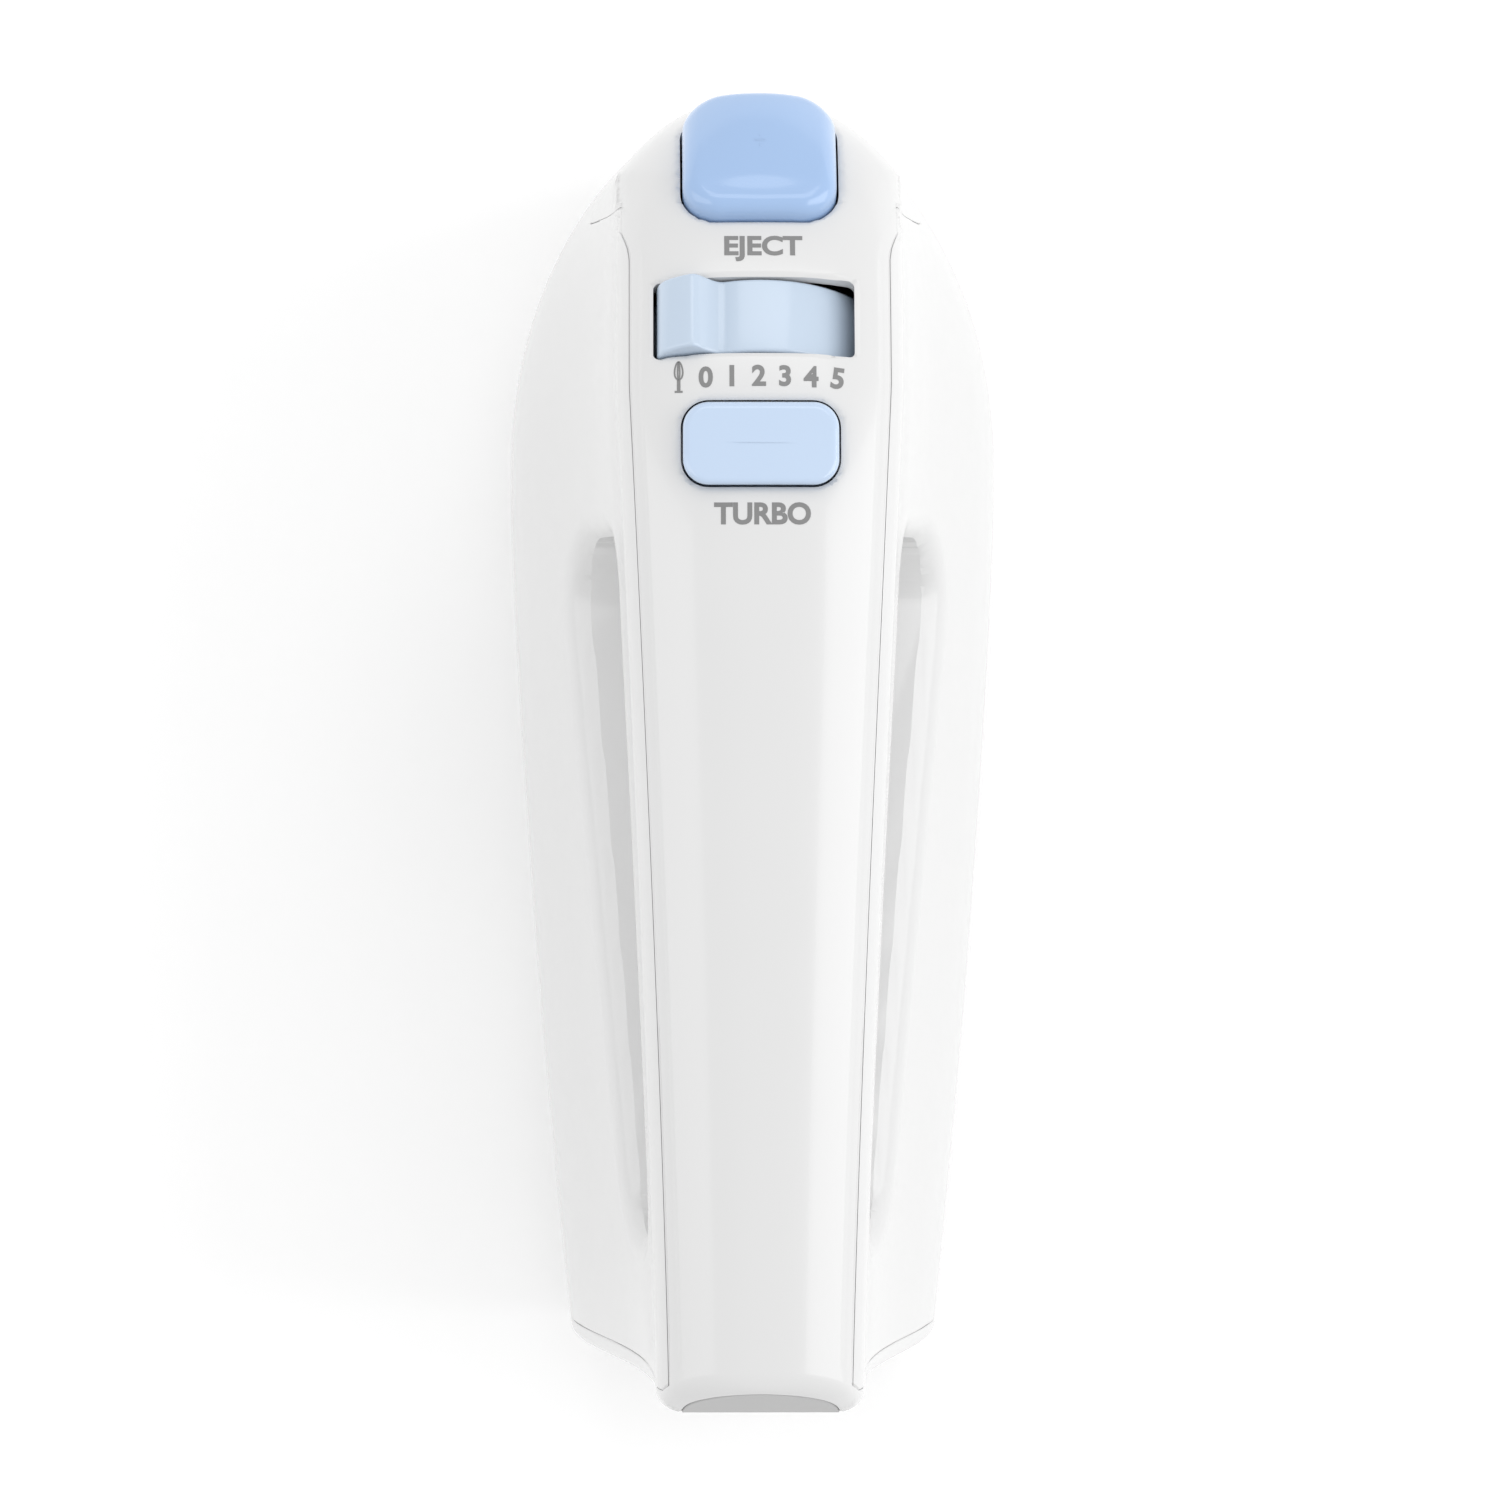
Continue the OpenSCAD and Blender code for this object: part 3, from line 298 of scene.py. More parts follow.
@dataclass(frozen=True)
class HousingForm:
    """The housing's outer form, in millimetres from the heel (s), up (z) and to the side (x)."""

    length: float = 208.0
    width: float = 80.0
    height: float = 135.0
    wall: float = 2.2
    nose_z: float = 82.0
    top_start: float = 120.0
    wide_start: float = 144.0
    wide_end: float = 150.0
    base_over: float = 6.0
    belly_share: float = 36 / 88
    heel_taper: float = 10.2
    heel_drop: float = 1.5
    heel_edge: float = 3.0
    heel_wall: float = 3.4
    heel_lean: float = 3.5
    rim_z: float = 126.1
    bevel_run: float = 3.9
    bevel_h: float = 7.4
    base_round: float = 12.0
    crown_d: float = 13.0
    crown_heel: float = 16.2
    crown_nose: float = 22.4
    crown_n: float = 2.4
    belly_n: float = 3.2
    band_inset: float = 2.0
    band_depth: float = 8.5
    cap_s: float = 188.5
    cap_z: float = 60.0
    gap: float = 0.2
    seam_gap: float = 0.08
    slot_r: float = 11.0
    slot_points: tuple[tuple[float, float], ...] = ((36, 90), (126, 82), (126, 92), (36, 92))
    key_w: float = 24.2
    key_gap: float = 0.35
    turbo_s: float = 150.5
    turbo_l: float = 12.9
    roller_s: float = 171.0
    roller_l: float = 12.4
    eject_s: float = 195.5
    eject_l: float = 26.0
    slot_edge: float = 4.2
    slot_roll: float = 1.9
    window_edge: float = 0.7
    seam_edge: float = 0.26
    crease_in: float = 1.7
    crease_depth: float = 0.16

    def top_z(self, s: Array, d: float = 0.0) -> Array:
        """Height of the top line at s, for a form drawn in by d."""
        run = self.length - self.top_start - d
        u = np.clip((s - self.top_start) / run, 0, 1)
        back = np.clip((self.top_start - s) / self.top_start, 0, None)
        rear = self.height - d - self.heel_drop * back**2
        nose = self.nose_z + (self.height - d - self.nose_z) * np.sqrt(1 - u * u)
        return np.where(s < self.top_start, rear, nose)

    def low_z(self, s: Array, d: float = 0.0) -> Array:
        """Height of the underside before the flat base cuts it."""
        u = np.clip((s - self.wide_end) / (self.length - self.wide_end - d), 0, 1)
        return self.nose_z - (self.nose_z + self.base_over - d) * (1 - u**4) ** 0.25

    def belly_x(self, s: Array, d: float = 0.0) -> Array:
        """Half-width at the belly."""
        u = np.clip((s - self.wide_end) / (self.length - self.wide_end - d), 0, 1)
        back = np.clip((self.wide_start - s) / self.wide_start, 0, None)
        rear = self.width / 2 - d - self.heel_taper * back**1.3
        return np.where(s < self.wide_start, rear, (self.width / 2 - d) * np.sqrt(1 - u * u))

    def crown_x(self, s: Array, d: float = 0.0) -> Array:
        """Half-width of the crown."""
        k = np.clip(s / (self.wide_end + 10), 0, 1)
        wide = self.crown_heel + (self.crown_nose - self.crown_heel) * k**1.25 - d
        return np.minimum(wide, 0.86 * self.belly_x(s, d))

    def waist_z(self, s: Array, d: float = 0.0) -> Array:
        """Height of the widest line."""
        low = self.low_z(s, d)
        return low + (self.nose_z - low) * self.belly_share

    def side_x(self, s: Array, z: Array, d: float = 0.0) -> Array:
        """Half-width at height z."""
        zt, zw, low = self.top_z(s, d), self.waist_z(s, d), self.low_z(s, d)
        ch = np.minimum(self.crown_d, 0.45 * (zt - zw))
        cx, bx = self.crown_x(s, d), self.belly_x(s, d)
        q = np.clip((zt - z) / np.maximum(zt - zw, 1e-6), 0, 1)
        q = q ** (1.75 - 0.3 * np.clip(s / self.top_start, 0, 1))
        bell = q * q * (3 - 2 * q)
        t = np.clip((zt - z) / np.maximum(ch, 1e-6), 0, 1)
        c = (1 - (1 - t) ** self.crown_n) ** (1 / self.crown_n)
        b = np.clip((zw - z) / np.maximum(zw - low, 1e-3), 0, 1)
        upper = (cx + (bx - cx) * bell) * c
        return np.where(z > zw, upper, bx * (1 - b**self.belly_n) ** (1 / self.belly_n))

    def z_at(self, s: Array, x: Array, d: float = 0.0) -> Array:
        """Height of the upper surface where its half-width is x."""
        zero = np.zeros(np.broadcast(s, x).shape)
        lo, hi = self.waist_z(s, d) + zero, self.top_z(s, d) + zero
        for _ in range(40):
            mid = (lo + hi) / 2
            wider = self.side_x(s, mid, d) > x
            lo, hi = np.where(wider, mid, lo), np.where(wider, hi, mid)
        return (lo + hi) / 2

    def heel_s(self, z: Array) -> Array:
        """How far the heel face stands forward of its rearmost edge."""
        r = self.base_round
        low = np.clip(r - z, 0, r)
        foot = r - np.sqrt(r * r - low * low)
        lean = (self.rim_z - z) * math.tan(math.radians(self.heel_lean)) + foot
        return np.where(z > self.rim_z, (z - self.rim_z) * self.bevel_run / self.bevel_h, lean)

    def band_x(self, s: Array) -> Array:
        """Half-width of the top cover between its parting lines."""
        flare = np.clip((s - self.cap_s + 9) / 9, 0, None)
        return self.crown_x(s) - self.band_inset + 5 * flare**2

    def slot_distance(self, s: Array, z: Array) -> Array:
        """Distance outside the finger opening's outline in the side view."""
        best = np.full(np.broadcast(s, z).shape, 1e9)
        pts = self.slot_points
        inside = np.ones_like(best, bool)
        for a, b in zip(pts, pts[1:] + pts[:1]):
            dx, dz = b[0] - a[0], b[1] - a[1]
            t = np.clip(((s - a[0]) * dx + (z - a[1]) * dz) / (dx * dx + dz * dz), 0, 1)
            best = np.minimum(best, np.hypot(s - a[0] - t * dx, z - a[1] - t * dz))
            inside &= (dx * (z - a[1]) - dz * (s - a[0])) > 0
        return np.where(inside, 0, best) - self.slot_r

    def roller_axes(self) -> Tilt:
        """Axes of the selector window at the top surface."""
        return Tilt(self.roller_s, float(self.top_z(np.array(self.roller_s))), 22)

    def eject_axes(self) -> Tilt:
        """Axes of the eject button at the top surface."""
        return Tilt(self.eject_s, float(self.top_z(np.array(self.eject_s))), 35)

    def window_distance(self, p: Array) -> Array:
        """Distance outside the nearest of the three control windows."""
        g = 2 * self.key_gap
        turbo = rounded_box(p[..., 0], p[..., 1] - self.turbo_s, self.key_w + g, self.turbo_l + g, 4.4)
        q = self.roller_axes().inward(p)
        roller = rounded_box(q[..., 0] + 1, q[..., 1], 31.4, self.roller_l + g, 1.0)
        q = self.eject_axes().inward(p)
        eject = rounded_box(q[..., 0], q[..., 1] - 1, self.key_w + g, self.eject_l + g, 6.4)
        best = np.minimum(turbo, np.minimum(roller, eject))
        return np.where(p[..., 2] > 90, best, 99.0)

    def relief(self, p: Array) -> Array:
        """Depth of the rounded edges, parting grooves and creases under the plain form.

        Args:
            p: Points on the plain form.

        Returns:
            Depth at each point.
        """
        x, s, z = np.abs(p[..., 0]), p[..., 1], p[..., 2]
        near_slot = (s < 150) & (z > 55)
        depth = np.where(near_slot, roll(self.slot_distance(s, z), self.slot_edge, self.slot_roll), 0)
        depth = np.maximum(depth, fillet(self.window_distance(p), self.window_edge))
        r = self.seam_edge
        band = x - self.band_x(s)
        heel = s - self.heel_s(z) - self.heel_wall
        high = z > self.top_z(s) - self.band_depth
        on_band = (heel > 0) & (s < self.cap_s) & high
        groove = np.where(band < 0, -band, np.maximum(band - self.seam_gap, 0))
        depth = np.maximum(depth, np.where(on_band, fillet(groove, r), 0))
        cap = s - self.cap_s
        groove = np.where(cap > 0, cap, np.maximum(-cap - self.seam_gap, 0))
        on_cap = (band > 0) & (z > self.cap_z) & (s > 150)
        depth = np.maximum(depth, np.where(on_cap, fillet(groove, r), 0))
        groove = np.where(heel < 0, -heel, np.maximum(heel - self.seam_gap, 0))
        depth = np.maximum(depth, np.where((band > 0) & (s < 40), fillet(groove, r), 0))
        inside = ramp(-band, self.crease_in - 0.45, self.crease_in + 0.45)
        strip = np.where((band < 0) & high, 1 - inside, 0)
        fade = ramp(s, 4, 12) * (1 - ramp(s, self.cap_s - 12, self.cap_s - 3))
        return depth + self.crease_depth * strip * fade


@dataclass(frozen=True)
class FormGrid:
    """Points of the form on a grid of stations and ring places.

    Args:
        form: The form.
        inset: How far it is drawn in.
        fine: True for the outer surface with its relief.
    """

    form: HousingForm
    inset: float = 0.0
    fine: bool = True

    def stations(self) -> Array:
        """Stations from heel to nose, close together at edges and curves."""
        f, d = self.form, self.inset
        if not self.fine:
            nose = f.wide_end + (f.length - d - f.wide_end) * np.sin(np.linspace(0, 0.497 * math.pi, 18))
            return np.concatenate([[d, d + 0.4, d + 1.4, d + 3], np.linspace(d + 9, 146, 26), nose])
        heel = [0, 0.1, 0.3, 0.6, 1, 1.5, 2, 2.5, 3, 3.2, 3.36, 3.5, 3.64, 3.8, 3.96, 4.15, 4.5]
        groove = f.cap_s + np.array([-0.9, -0.65, -0.45, -0.32, -0.2, 0, 0.1, 0.22, 0.42])
        a0 = math.asin((f.cap_s + 0.7 - f.wide_end) / (f.length - f.wide_end))
        nose = f.wide_end + (f.length - f.wide_end) * np.sin(np.linspace(a0, 0.4955 * math.pi, 44))
        return np.concatenate([heel, np.arange(5.3, 138, 1.0), np.arange(138, 187.3, 0.5), groove, nose])

    def points(self) -> Array:
        """Points of every ring: top centre, right side, bottom centre, left side."""
        f, d = self.form, self.inset
        s = self.stations()[:, None]
        belly = f.belly_x(s, d)
        full = f.belly_x(np.array(f.cap_s), d)
        scale = np.minimum(1, belly / full)
        band = np.where(s > f.cap_s, f.band_x(np.array(f.cap_s)) / full * belly, f.band_x(s)) - d
        if self.fine:
            core = np.linspace(0, 1, 27)[None, :] * (band - 2.6 * scale)
            steps = [-2.35, -2.1, -1.9, -1.7, -1.5, -1.3, -1.05, -0.8, -0.55, -0.34, -0.2, -0.09]
            steps += [0, 0.1, 0.2, 0.29, 0.4, 0.55, 0.8, 1.15]
            counts = (76, 16, 3)
        else:
            core = np.linspace(0, 1, 8)[None, :] * (band - 2.6 * scale)
            steps = [-1.2, 0, 1.2]
            counts = (20, 8, 2)
        x_top = np.concatenate([core, band + np.array(steps)[None, :] * scale], axis=1)
        k = (f.heel_edge * (1 - np.sqrt(1 - (np.clip(f.heel_edge - (s - d), 0, None) / f.heel_edge) ** 2)))
        z_top = f.z_at(s + 0 * x_top, x_top + k * np.minimum(1, x_top / 4), d)
        z1, zw = z_top[:, -1:], f.waist_z(s, d)
        zb = np.maximum(f.low_z(s, d), d)
        v = np.arange(1, counts[0] + 1)[None, :] / counts[0]
        z_side = z1 - (z1 - zw) * v**1.35
        w = np.arange(1, counts[1] + 1)[None, :] / counts[1]
        z_low = zw - (zw - zb) * np.sin(w * math.pi / 2)
        z0 = np.concatenate([z_side, z_low], axis=1)
        x_side = np.maximum(f.side_x(s + 0 * z0, z0, d) - k, 0.02)
        x_base = x_side[:, -1:] * (1 - np.arange(1, counts[2] + 1)[None, :] / counts[2])
        x = np.concatenate([x_top, x_side, x_base], axis=1)
        z = np.concatenate([z_top, z0, np.repeat(zb, counts[2], axis=1)], axis=1)
        mid, zt = f.waist_z(s, d), f.top_z(s, d)
        z = np.where(z > mid, z - 0.3 * k * (z - mid) / np.maximum(zt - mid, 1e-3), z)
        y = s + f.heel_s(z) * np.clip(1 - s / 60, 0, None)
        right = np.stack([x, y, z], axis=-1)
        left = right[:, -2:0:-1] * np.array([-1.0, 1.0, 1.0])
        return np.concatenate([right, left], axis=1)

    def build(self) -> tuple[Solid, Array]:
        """Make the closed solid and the smooth normal at each of its points."""
        p = self.points()
        rows, ring = p.shape[:2]
        normals = self.grid_normals(p)
        if self.fine:
            p = p - normals * self.form.relief(p)[..., None]
            normals = self.grid_normals(p)
        half = ring // 2
        faces = ring_faces(ring, rows)
        for row, turn in ((0, False), (rows - 1, True)):
            a = row * ring
            for j in range(half):
                q = (a + j, a + (ring - j) % ring, a + ring - j - 1, a + j + 1)
                if j == 0:
                    q = (a, a + ring - 1, a + 1)
                if j == half - 1:
                    q = (a + j, a + ring - j, a + half)
                faces.append(tuple(reversed(q)) if turn else q)
        return Solid(p.reshape(-1, 3), faces), normals.reshape(-1, 3)

    @staticmethod
    def grid_normals(p: Array) -> Array:
        """Outward normals of the grid by central differences, the flat base left out."""
        along = np.gradient(p, axis=0)
        around = np.roll(p, -1, axis=1) - np.roll(p, 1, axis=1)
        edge = np.abs(p[..., 2]) < 1e-6
        ahead, behind = np.roll(edge, -1, axis=1), np.roll(edge, 1, axis=1)
        forward = np.roll(p, -1, axis=1) - p
        backward = p - np.roll(p, 1, axis=1)
        around = np.where((edge & ahead & ~behind)[..., None], backward, around)
        around = np.where((edge & behind & ~ahead)[..., None], forward, around)
        n = np.cross(around, along)
        size = np.linalg.norm(n, axis=-1, keepdims=True)
        n = n / np.maximum(size, 1e-9)
        return np.where(size > 1e-9, n, np.array([0.0, 0.0, 1.0]))


# ------------------------------------------------------------- mesh settling
@dataclass
class SkinSurface:
    """The uncut outer surface, which gives cut pieces their smooth normals.

    Args:
        solid: The uncut outer solid.
        normals: Its smooth normal at each point.
    """

    solid: Solid
    normals: Array
    tree: BVHTree = field(init=False)
    triangles: list[tuple[int, int, int]] = field(init=False)

    def __post_init__(self) -> None:
        """Build the search tree over its triangles."""
        tris: list[tuple[int, int, int]] = []
        for f in self.solid.faces:
            tris.append((f[0], f[1], f[2]))
            if len(f) == 4:
                tris.append((f[0], f[2], f[3]))
        self.triangles = tris
        points = [Vector(p) for p in self.solid.points]
        self.tree = BVHTree.FromPolygons(points, tris)

    def normal_near(self, place: Vector) -> tuple[Vector, float]:
        """Smooth normal of the surface nearest to a place.

        Args:
            place: A point in millimetres.

        Returns:
            The normal and the distance to the surface.
        """
        hit, _, index, away = self.tree.find_nearest(place)
        a, b, c = self.triangles[index]
        pa, pb, pc = (self.solid.points[i] for i in (a, b, c))
        v0, v1, v2 = pb - pa, pc - pa, np.array(hit) - pa
        d00, d01, d11, d20, d21 = v0 @ v0, v0 @ v1, v1 @ v1, v2 @ v0, v2 @ v1
        den = d00 * d11 - d01 * d01
        if abs(den) < 1e-14:
            return Vector(self.normals[a]), away
        v, w = (d11 * d20 - d01 * d21) / den, (d00 * d21 - d01 * d20) / den
        n = self.normals[a] * (1 - v - w) + self.normals[b] * v + self.normals[c] * w
        return Vector(n).normalized(), away


def to_frame(obj: bpy.types.Object, length: float) -> None:
    """Move a mesh from millimetres from the heel to metres in the shared frame."""
    obj.data.transform(Matrix.Diagonal((MM, MM, MM, 1)) @ Matrix.Translation((0, -length / 2, 0)))


def smooth(obj: bpy.types.Object, degrees: float = 34, skin: SkinSurface | None = None) -> None:
    """Shade a mesh smooth, sharp at real edges, with the skin's own normals on its moulded face.

    Args:
        obj: Mesh object, still in millimetres.
        degrees: An edge sharper than this stays sharp.
        skin: Surface whose normals are taken where the mesh lies on it.
    """
    mesh = obj.data
    mesh.polygons.foreach_set("use_smooth", [True] * len(mesh.polygons))
    mesh.set_sharp_from_angle(angle=math.radians(degrees))
    if skin is None:
        return
    loops = np.zeros(len(mesh.loops) * 3, np.float32)
    mesh.corner_normals.foreach_get("vector", loops)
    loops = loops.reshape(-1, 3)
    at_vertex: dict[int, Vector] = {}
    for poly in mesh.polygons:
        n, away = skin.normal_near(poly.center)
        if away > ON_SKIN_MM or n.dot(poly.normal) < FACE_AGREES:
            continue
        for v, loop in zip(poly.vertices, poly.loop_indices):
            if v not in at_vertex:
                at_vertex[v] = skin.normal_near(mesh.vertices[v].co)[0]
            if at_vertex[v].dot(poly.normal) > CORNER_AGREES:
                loops[loop] = at_vertex[v]
    mesh.normals_split_custom_set([tuple(map(float, n)) for n in loops])


def keep_piece(obj: bpy.types.Object, name: str, body: str, replaces: Iterable[str]) -> None:
    """Name a finished piece, let it ride on its body and stand for its frame nodes.

    Args:
        obj: The piece, in metres.
        name: Its name.
        body: The body it moves with.
        replaces: Frame nodes that it stands for.
    """
    obj.name = name
    obj.data.name = name
    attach(obj, body)
    for node in replaces:
        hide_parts(node)
    LOG.info("%s: %d faces on %s", name, len(obj.data.polygons), body)


def dress(obj: bpy.types.Object, material: bpy.types.Material) -> None:
    """Give a whole mesh one material."""
    obj.data.materials.clear()
    obj.data.materials.append(material)
    obj.data.polygons.foreach_set("material_index", [0] * len(obj.data.polygons))


# ------------------------------------------------------------------ finishes
class Surface(Enum):
    """How a finish was made, which sets its fine pattern."""

    MOULDED = "polished mould"
    SPARKED = "spark-eroded mould"
    TURNED = "turned"
    DRAWN = "drawn or extruded"
    STACKED = "stamped and stacked"
    WOUND = "wound wire"
    PRESSED = "pressed powder"


def add(
    tree: bpy.types.NodeTree, kind: str, inputs: dict[str | int, Any] | None = None, **settings: Any
) -> bpy.types.Node:
    """Add a shader node with its settings and its input values or links.

    Args:
        tree: Node tree that gets it.
        kind: Blender's name of the node type.
        inputs: A value or an output socket for each input.
        settings: Node attributes.

    Returns:
        The new node.
    """
    node = tree.nodes.new(kind)
    for key, value in settings.items():
        setattr(node, key, value)
    for key, value in (inputs or {}).items():
        if isinstance(value, bpy.types.NodeSocket):
            tree.links.new(value, node.inputs[key])
        else:
            node.inputs[key].default_value = value
    return node


@dataclass(frozen=True)
class Finish:
    """One real material and the process that made its surface.

    Args:
        name: Common name and process.
        colour: Its sRGB colour.
        surface: How the surface was made.
        roughness: Middle roughness.
        metallic: 1 for bare metal.
        ior: Index of refraction; a metal keeps the default.
        tone: How far the colour drifts over a patch.
        patch_mm: Size of the patches of tone.
        grain_mm: Size of the fine pattern.
        depth_mm: Depth of the fine pattern.
        coat: Strength of a clear gloss over it.
        edge_mm: Rounding that the eye sees on its small edges.
        glow_mm: Depth that light goes into it.
    """

    name: str
    colour: str
    surface: Surface
    roughness: float
    metallic: float = 0.0
    ior: float = 1.5
    tone: float = 0.03
    patch_mm: float = 14.0
    grain_mm: float = 0.6
    depth_mm: float = 0.004
    coat: float = 0.0
    edge_mm: float = 0.15
    glow_mm: float = 0.0

    def material(self) -> bpy.types.Material:
        """Make the material, or give the one already made."""
        found = bpy.data.materials.get(self.name)
        return found if found is not None else self._make()

    def _pattern(self, tree: bpy.types.NodeTree, place: bpy.types.NodeSocket) -> bpy.types.NodeSocket:
        """Height of the fine pattern that the process leaves."""
        k = 1 / (self.grain_mm * MM)
        if self.surface in (Surface.TURNED, Surface.DRAWN):
            stretch = (k, k, k / 30) if self.surface is Surface.TURNED else (k, k / 30, k)
            lines = add(tree, "ShaderNodeMapping", {"Vector": place, "Scale": stretch})
            source = {"Vector": lines.outputs[0], "Scale": 1.0, "Detail": 2.0}
            return add(tree, "ShaderNodeTexNoise", source).outputs["Fac"]
        if self.surface in (Surface.STACKED, Surface.WOUND):
            axis = "Y" if self.surface is Surface.STACKED else "X"
            source = {"Vector": place, "Scale": k / 6.2832, "Distortion": 0.0}
            return add(tree, "ShaderNodeTexWave", source, bands_direction=axis).outputs["Fac"]
        if self.surface is Surface.PRESSED:
            source = {"Vector": place, "Scale": k, "Randomness": 1.0}
            return add(tree, "ShaderNodeTexVoronoi", source).outputs["Distance"]
        detail = 1.0 if self.surface is Surface.MOULDED else 4.0
        source = {"Vector": place, "Scale": k, "Detail": detail, "Roughness": 0.5}
        return add(tree, "ShaderNodeTexNoise", source).outputs["Fac"]

    def _make(self) -> bpy.types.Material:
        """Build the node tree: tone, gloss, fine pattern with painted shade in its grooves, and rounded
        edges.
        """
        mat = bpy.data.materials.new(self.name)
        mat.use_nodes = True
        tree = mat.node_tree
        tree.nodes.clear()
        place = add(tree, "ShaderNodeTexCoord").outputs["Object"]
        patch = {"Vector": place, "Scale": 1 / (self.patch_mm * MM), "Detail": 3.0}
        cloud = add(tree, "ShaderNodeTexNoise", patch).outputs["Fac"]
        base = linear(self.colour)
        dark = tuple(c * (1 - self.tone) for c in base[:3]) + (1.0,)
        light = tuple(min(1.0, c * (1 + self.tone)) for c in base[:3]) + (1.0,)
        tint = add(tree, "ShaderNodeMix", {0: cloud, 6: dark, 7: light}, data_type="RGBA").outputs[2]
        fine = self._pattern(tree, place)
        # Painted shade: the low parts of a stacked, wound or pressed pattern are darkened to 55 percent of
        # the colour, as shade in the gaps between sheets and strands and in pores.
        if self.surface in (Surface.STACKED, Surface.WOUND, Surface.PRESSED):
            groove_shade = tuple(c * 0.55 for c in base[:3]) + (1.0,)
            tint = add(tree, "ShaderNodeMix", {0: fine, 6: groove_shade, 7: tint}, data_type="RGBA").outputs[2]
        spread = {"Value": cloud, 1: 0.3, 2: 0.7, 3: self.roughness * 0.88, 4: self.roughness * 1.12}
        gloss = add(tree, "ShaderNodeMapRange", spread).outputs[0]
        edge = add(tree, "ShaderNodeBevel", {"Radius": self.edge_mm * MM}, samples=4).outputs[0]
        bump = {"Height": fine, "Distance": self.depth_mm * MM, "Strength": 1.0, "Normal": edge}
        if self.edge_mm <= 0:
            bump.pop("Normal")
        normal = add(tree, "ShaderNodeBump", bump).outputs[0]
        values: dict[str | int, Any] = {
            "Base Color": tint,
            "Roughness": gloss,
            "Metallic": self.metallic,
            "IOR": self.ior,
            "Normal": normal,
            "Coat Weight": self.coat,
            "Coat Roughness": 0.06,
        }
        if self.glow_mm > 0:
            values |= {"Subsurface Weight": 0.25, "Subsurface Scale": self.glow_mm * MM}
        shader = add(tree, "ShaderNodeBsdfPrincipled", values)
        add(tree, "ShaderNodeOutputMaterial", {"Surface": shader.outputs[0]})
        return mat


# Polished ABS: a clean, slightly soft gloss with a faint orange peel that
# breaks the edge of each reflection.
GLOSS_WHITE = Finish(
    "white_ABS_polished_mould", "#D5D5D5", Surface.MOULDED, 0.24, ior=1.53, tone=0.008,
    patch_mm=22, grain_mm=4.5, depth_mm=0.006, edge_mm=0, coat=0.25,
)
# Spark-eroded ABS: a dry, even satin without a clear reflection.
SATIN_WHITE = Finish(
    "white_ABS_spark_eroded", "#E6E6E3", Surface.SPARKED, 0.48,
    ior=1.53, grain_mm=0.35, depth_mm=0.012,
)
# Heel plate: its grey copies the shaded tone of the heel crescent, so it is painted shade on a satin ABS.
HEEL_SHADE_GREY = Finish(
    "heel_grey_ABS_painted_shade", "#B3B3B3", Surface.SPARKED, 0.4,
    ior=1.53, grain_mm=0.35, depth_mm=0.01,
)
# Glass-filled nylon: dark, dry and a little uneven in tone.
GRAPHITE = Finish(
    "graphite_nylon_spark_eroded", "#5A5D62", Surface.SPARKED, 0.52,
    ior=1.53, tone=0.08, grain_mm=0.4, depth_mm=0.015,
)
# Moulded rubber: matt black that catches only a broad grey sheen.
RUBBER = Finish(
    "black_rubber_moulded", "#1C1C1C", Surface.SPARKED, 0.72,
    ior=1.52, tone=0.1, grain_mm=0.3, depth_mm=0.02,
)
# Tinted polished ABS: the keys, glossier than the housing.
GLOSS_BLUE = Finish(
    "sky_blue_ABS_polished_mould", "#98B4DA", Surface.MOULDED, 0.16, ior=1.53, tone=0.012,
    patch_mm=16, grain_mm=4.0, depth_mm=0.004, edge_mm=0, coat=0.4,
)
GLOSS_PALE = Finish(
    "pale_blue_ABS_polished_mould", "#B9CBE2", Surface.MOULDED, 0.18, ior=1.53, tone=0.012,
    patch_mm=16, grain_mm=4.0, depth_mm=0.004, edge_mm=0, coat=0.35,
)
GLOSS_ICE = Finish(
    "ice_grey_ABS_polished_mould", "#BAC9DA", Surface.MOULDED, 0.22, ior=1.53, tone=0.012,
    patch_mm=16, grain_mm=4.0, depth_mm=0.004, edge_mm=0, coat=0.3,
)
# Unfilled acetal and nylon: milky, with a waxy half-gloss.
NYLON = Finish(
    "natural_acetal_moulded", "#E4E2D8", Surface.MOULDED, 0.38,
    ior=1.48, grain_mm=1.5, depth_mm=0.006, glow_mm=0.6,
)
PHENOLIC = Finish(
    "black_phenolic_moulded", "#1D1D1F", Surface.MOULDED, 0.35,
    ior=1.6, tone=0.08, grain_mm=0.8,
)
# Pressed carbon: a speckled, nearly dull black.
CARBON = Finish(
    "carbon_graphite_pressed", "#191919", Surface.PRESSED, 0.6,
    ior=1.9, tone=0.15, grain_mm=0.25, depth_mm=0.01,
)
LAMINATE = Finish(
    "green_glass_laminate_coated", "#2A6B43", Surface.DRAWN, 0.32,
    ior=1.55, tone=0.05, grain_mm=0.5, depth_mm=0.004,
)
SLEEVE_BLUE = Finish("blue_PVC_sleeve_shrunk", "#2B4A8C", Surface.MOULDED, 0.33, ior=1.53, grain_mm=0.9)
SLEEVE_BROWN = Finish("brown_PVC_sleeve_extruded", "#6E4329", Surface.DRAWN, 0.42, ior=1.53, grain_mm=0.4)
# Extruded aluminium: bright, with fine lines along its length.
ALUMINIUM = Finish("aluminium_extruded", "#C6C9CC", Surface.DRAWN, 0.34, 1.0, grain_mm=0.12, depth_mm=0.003)
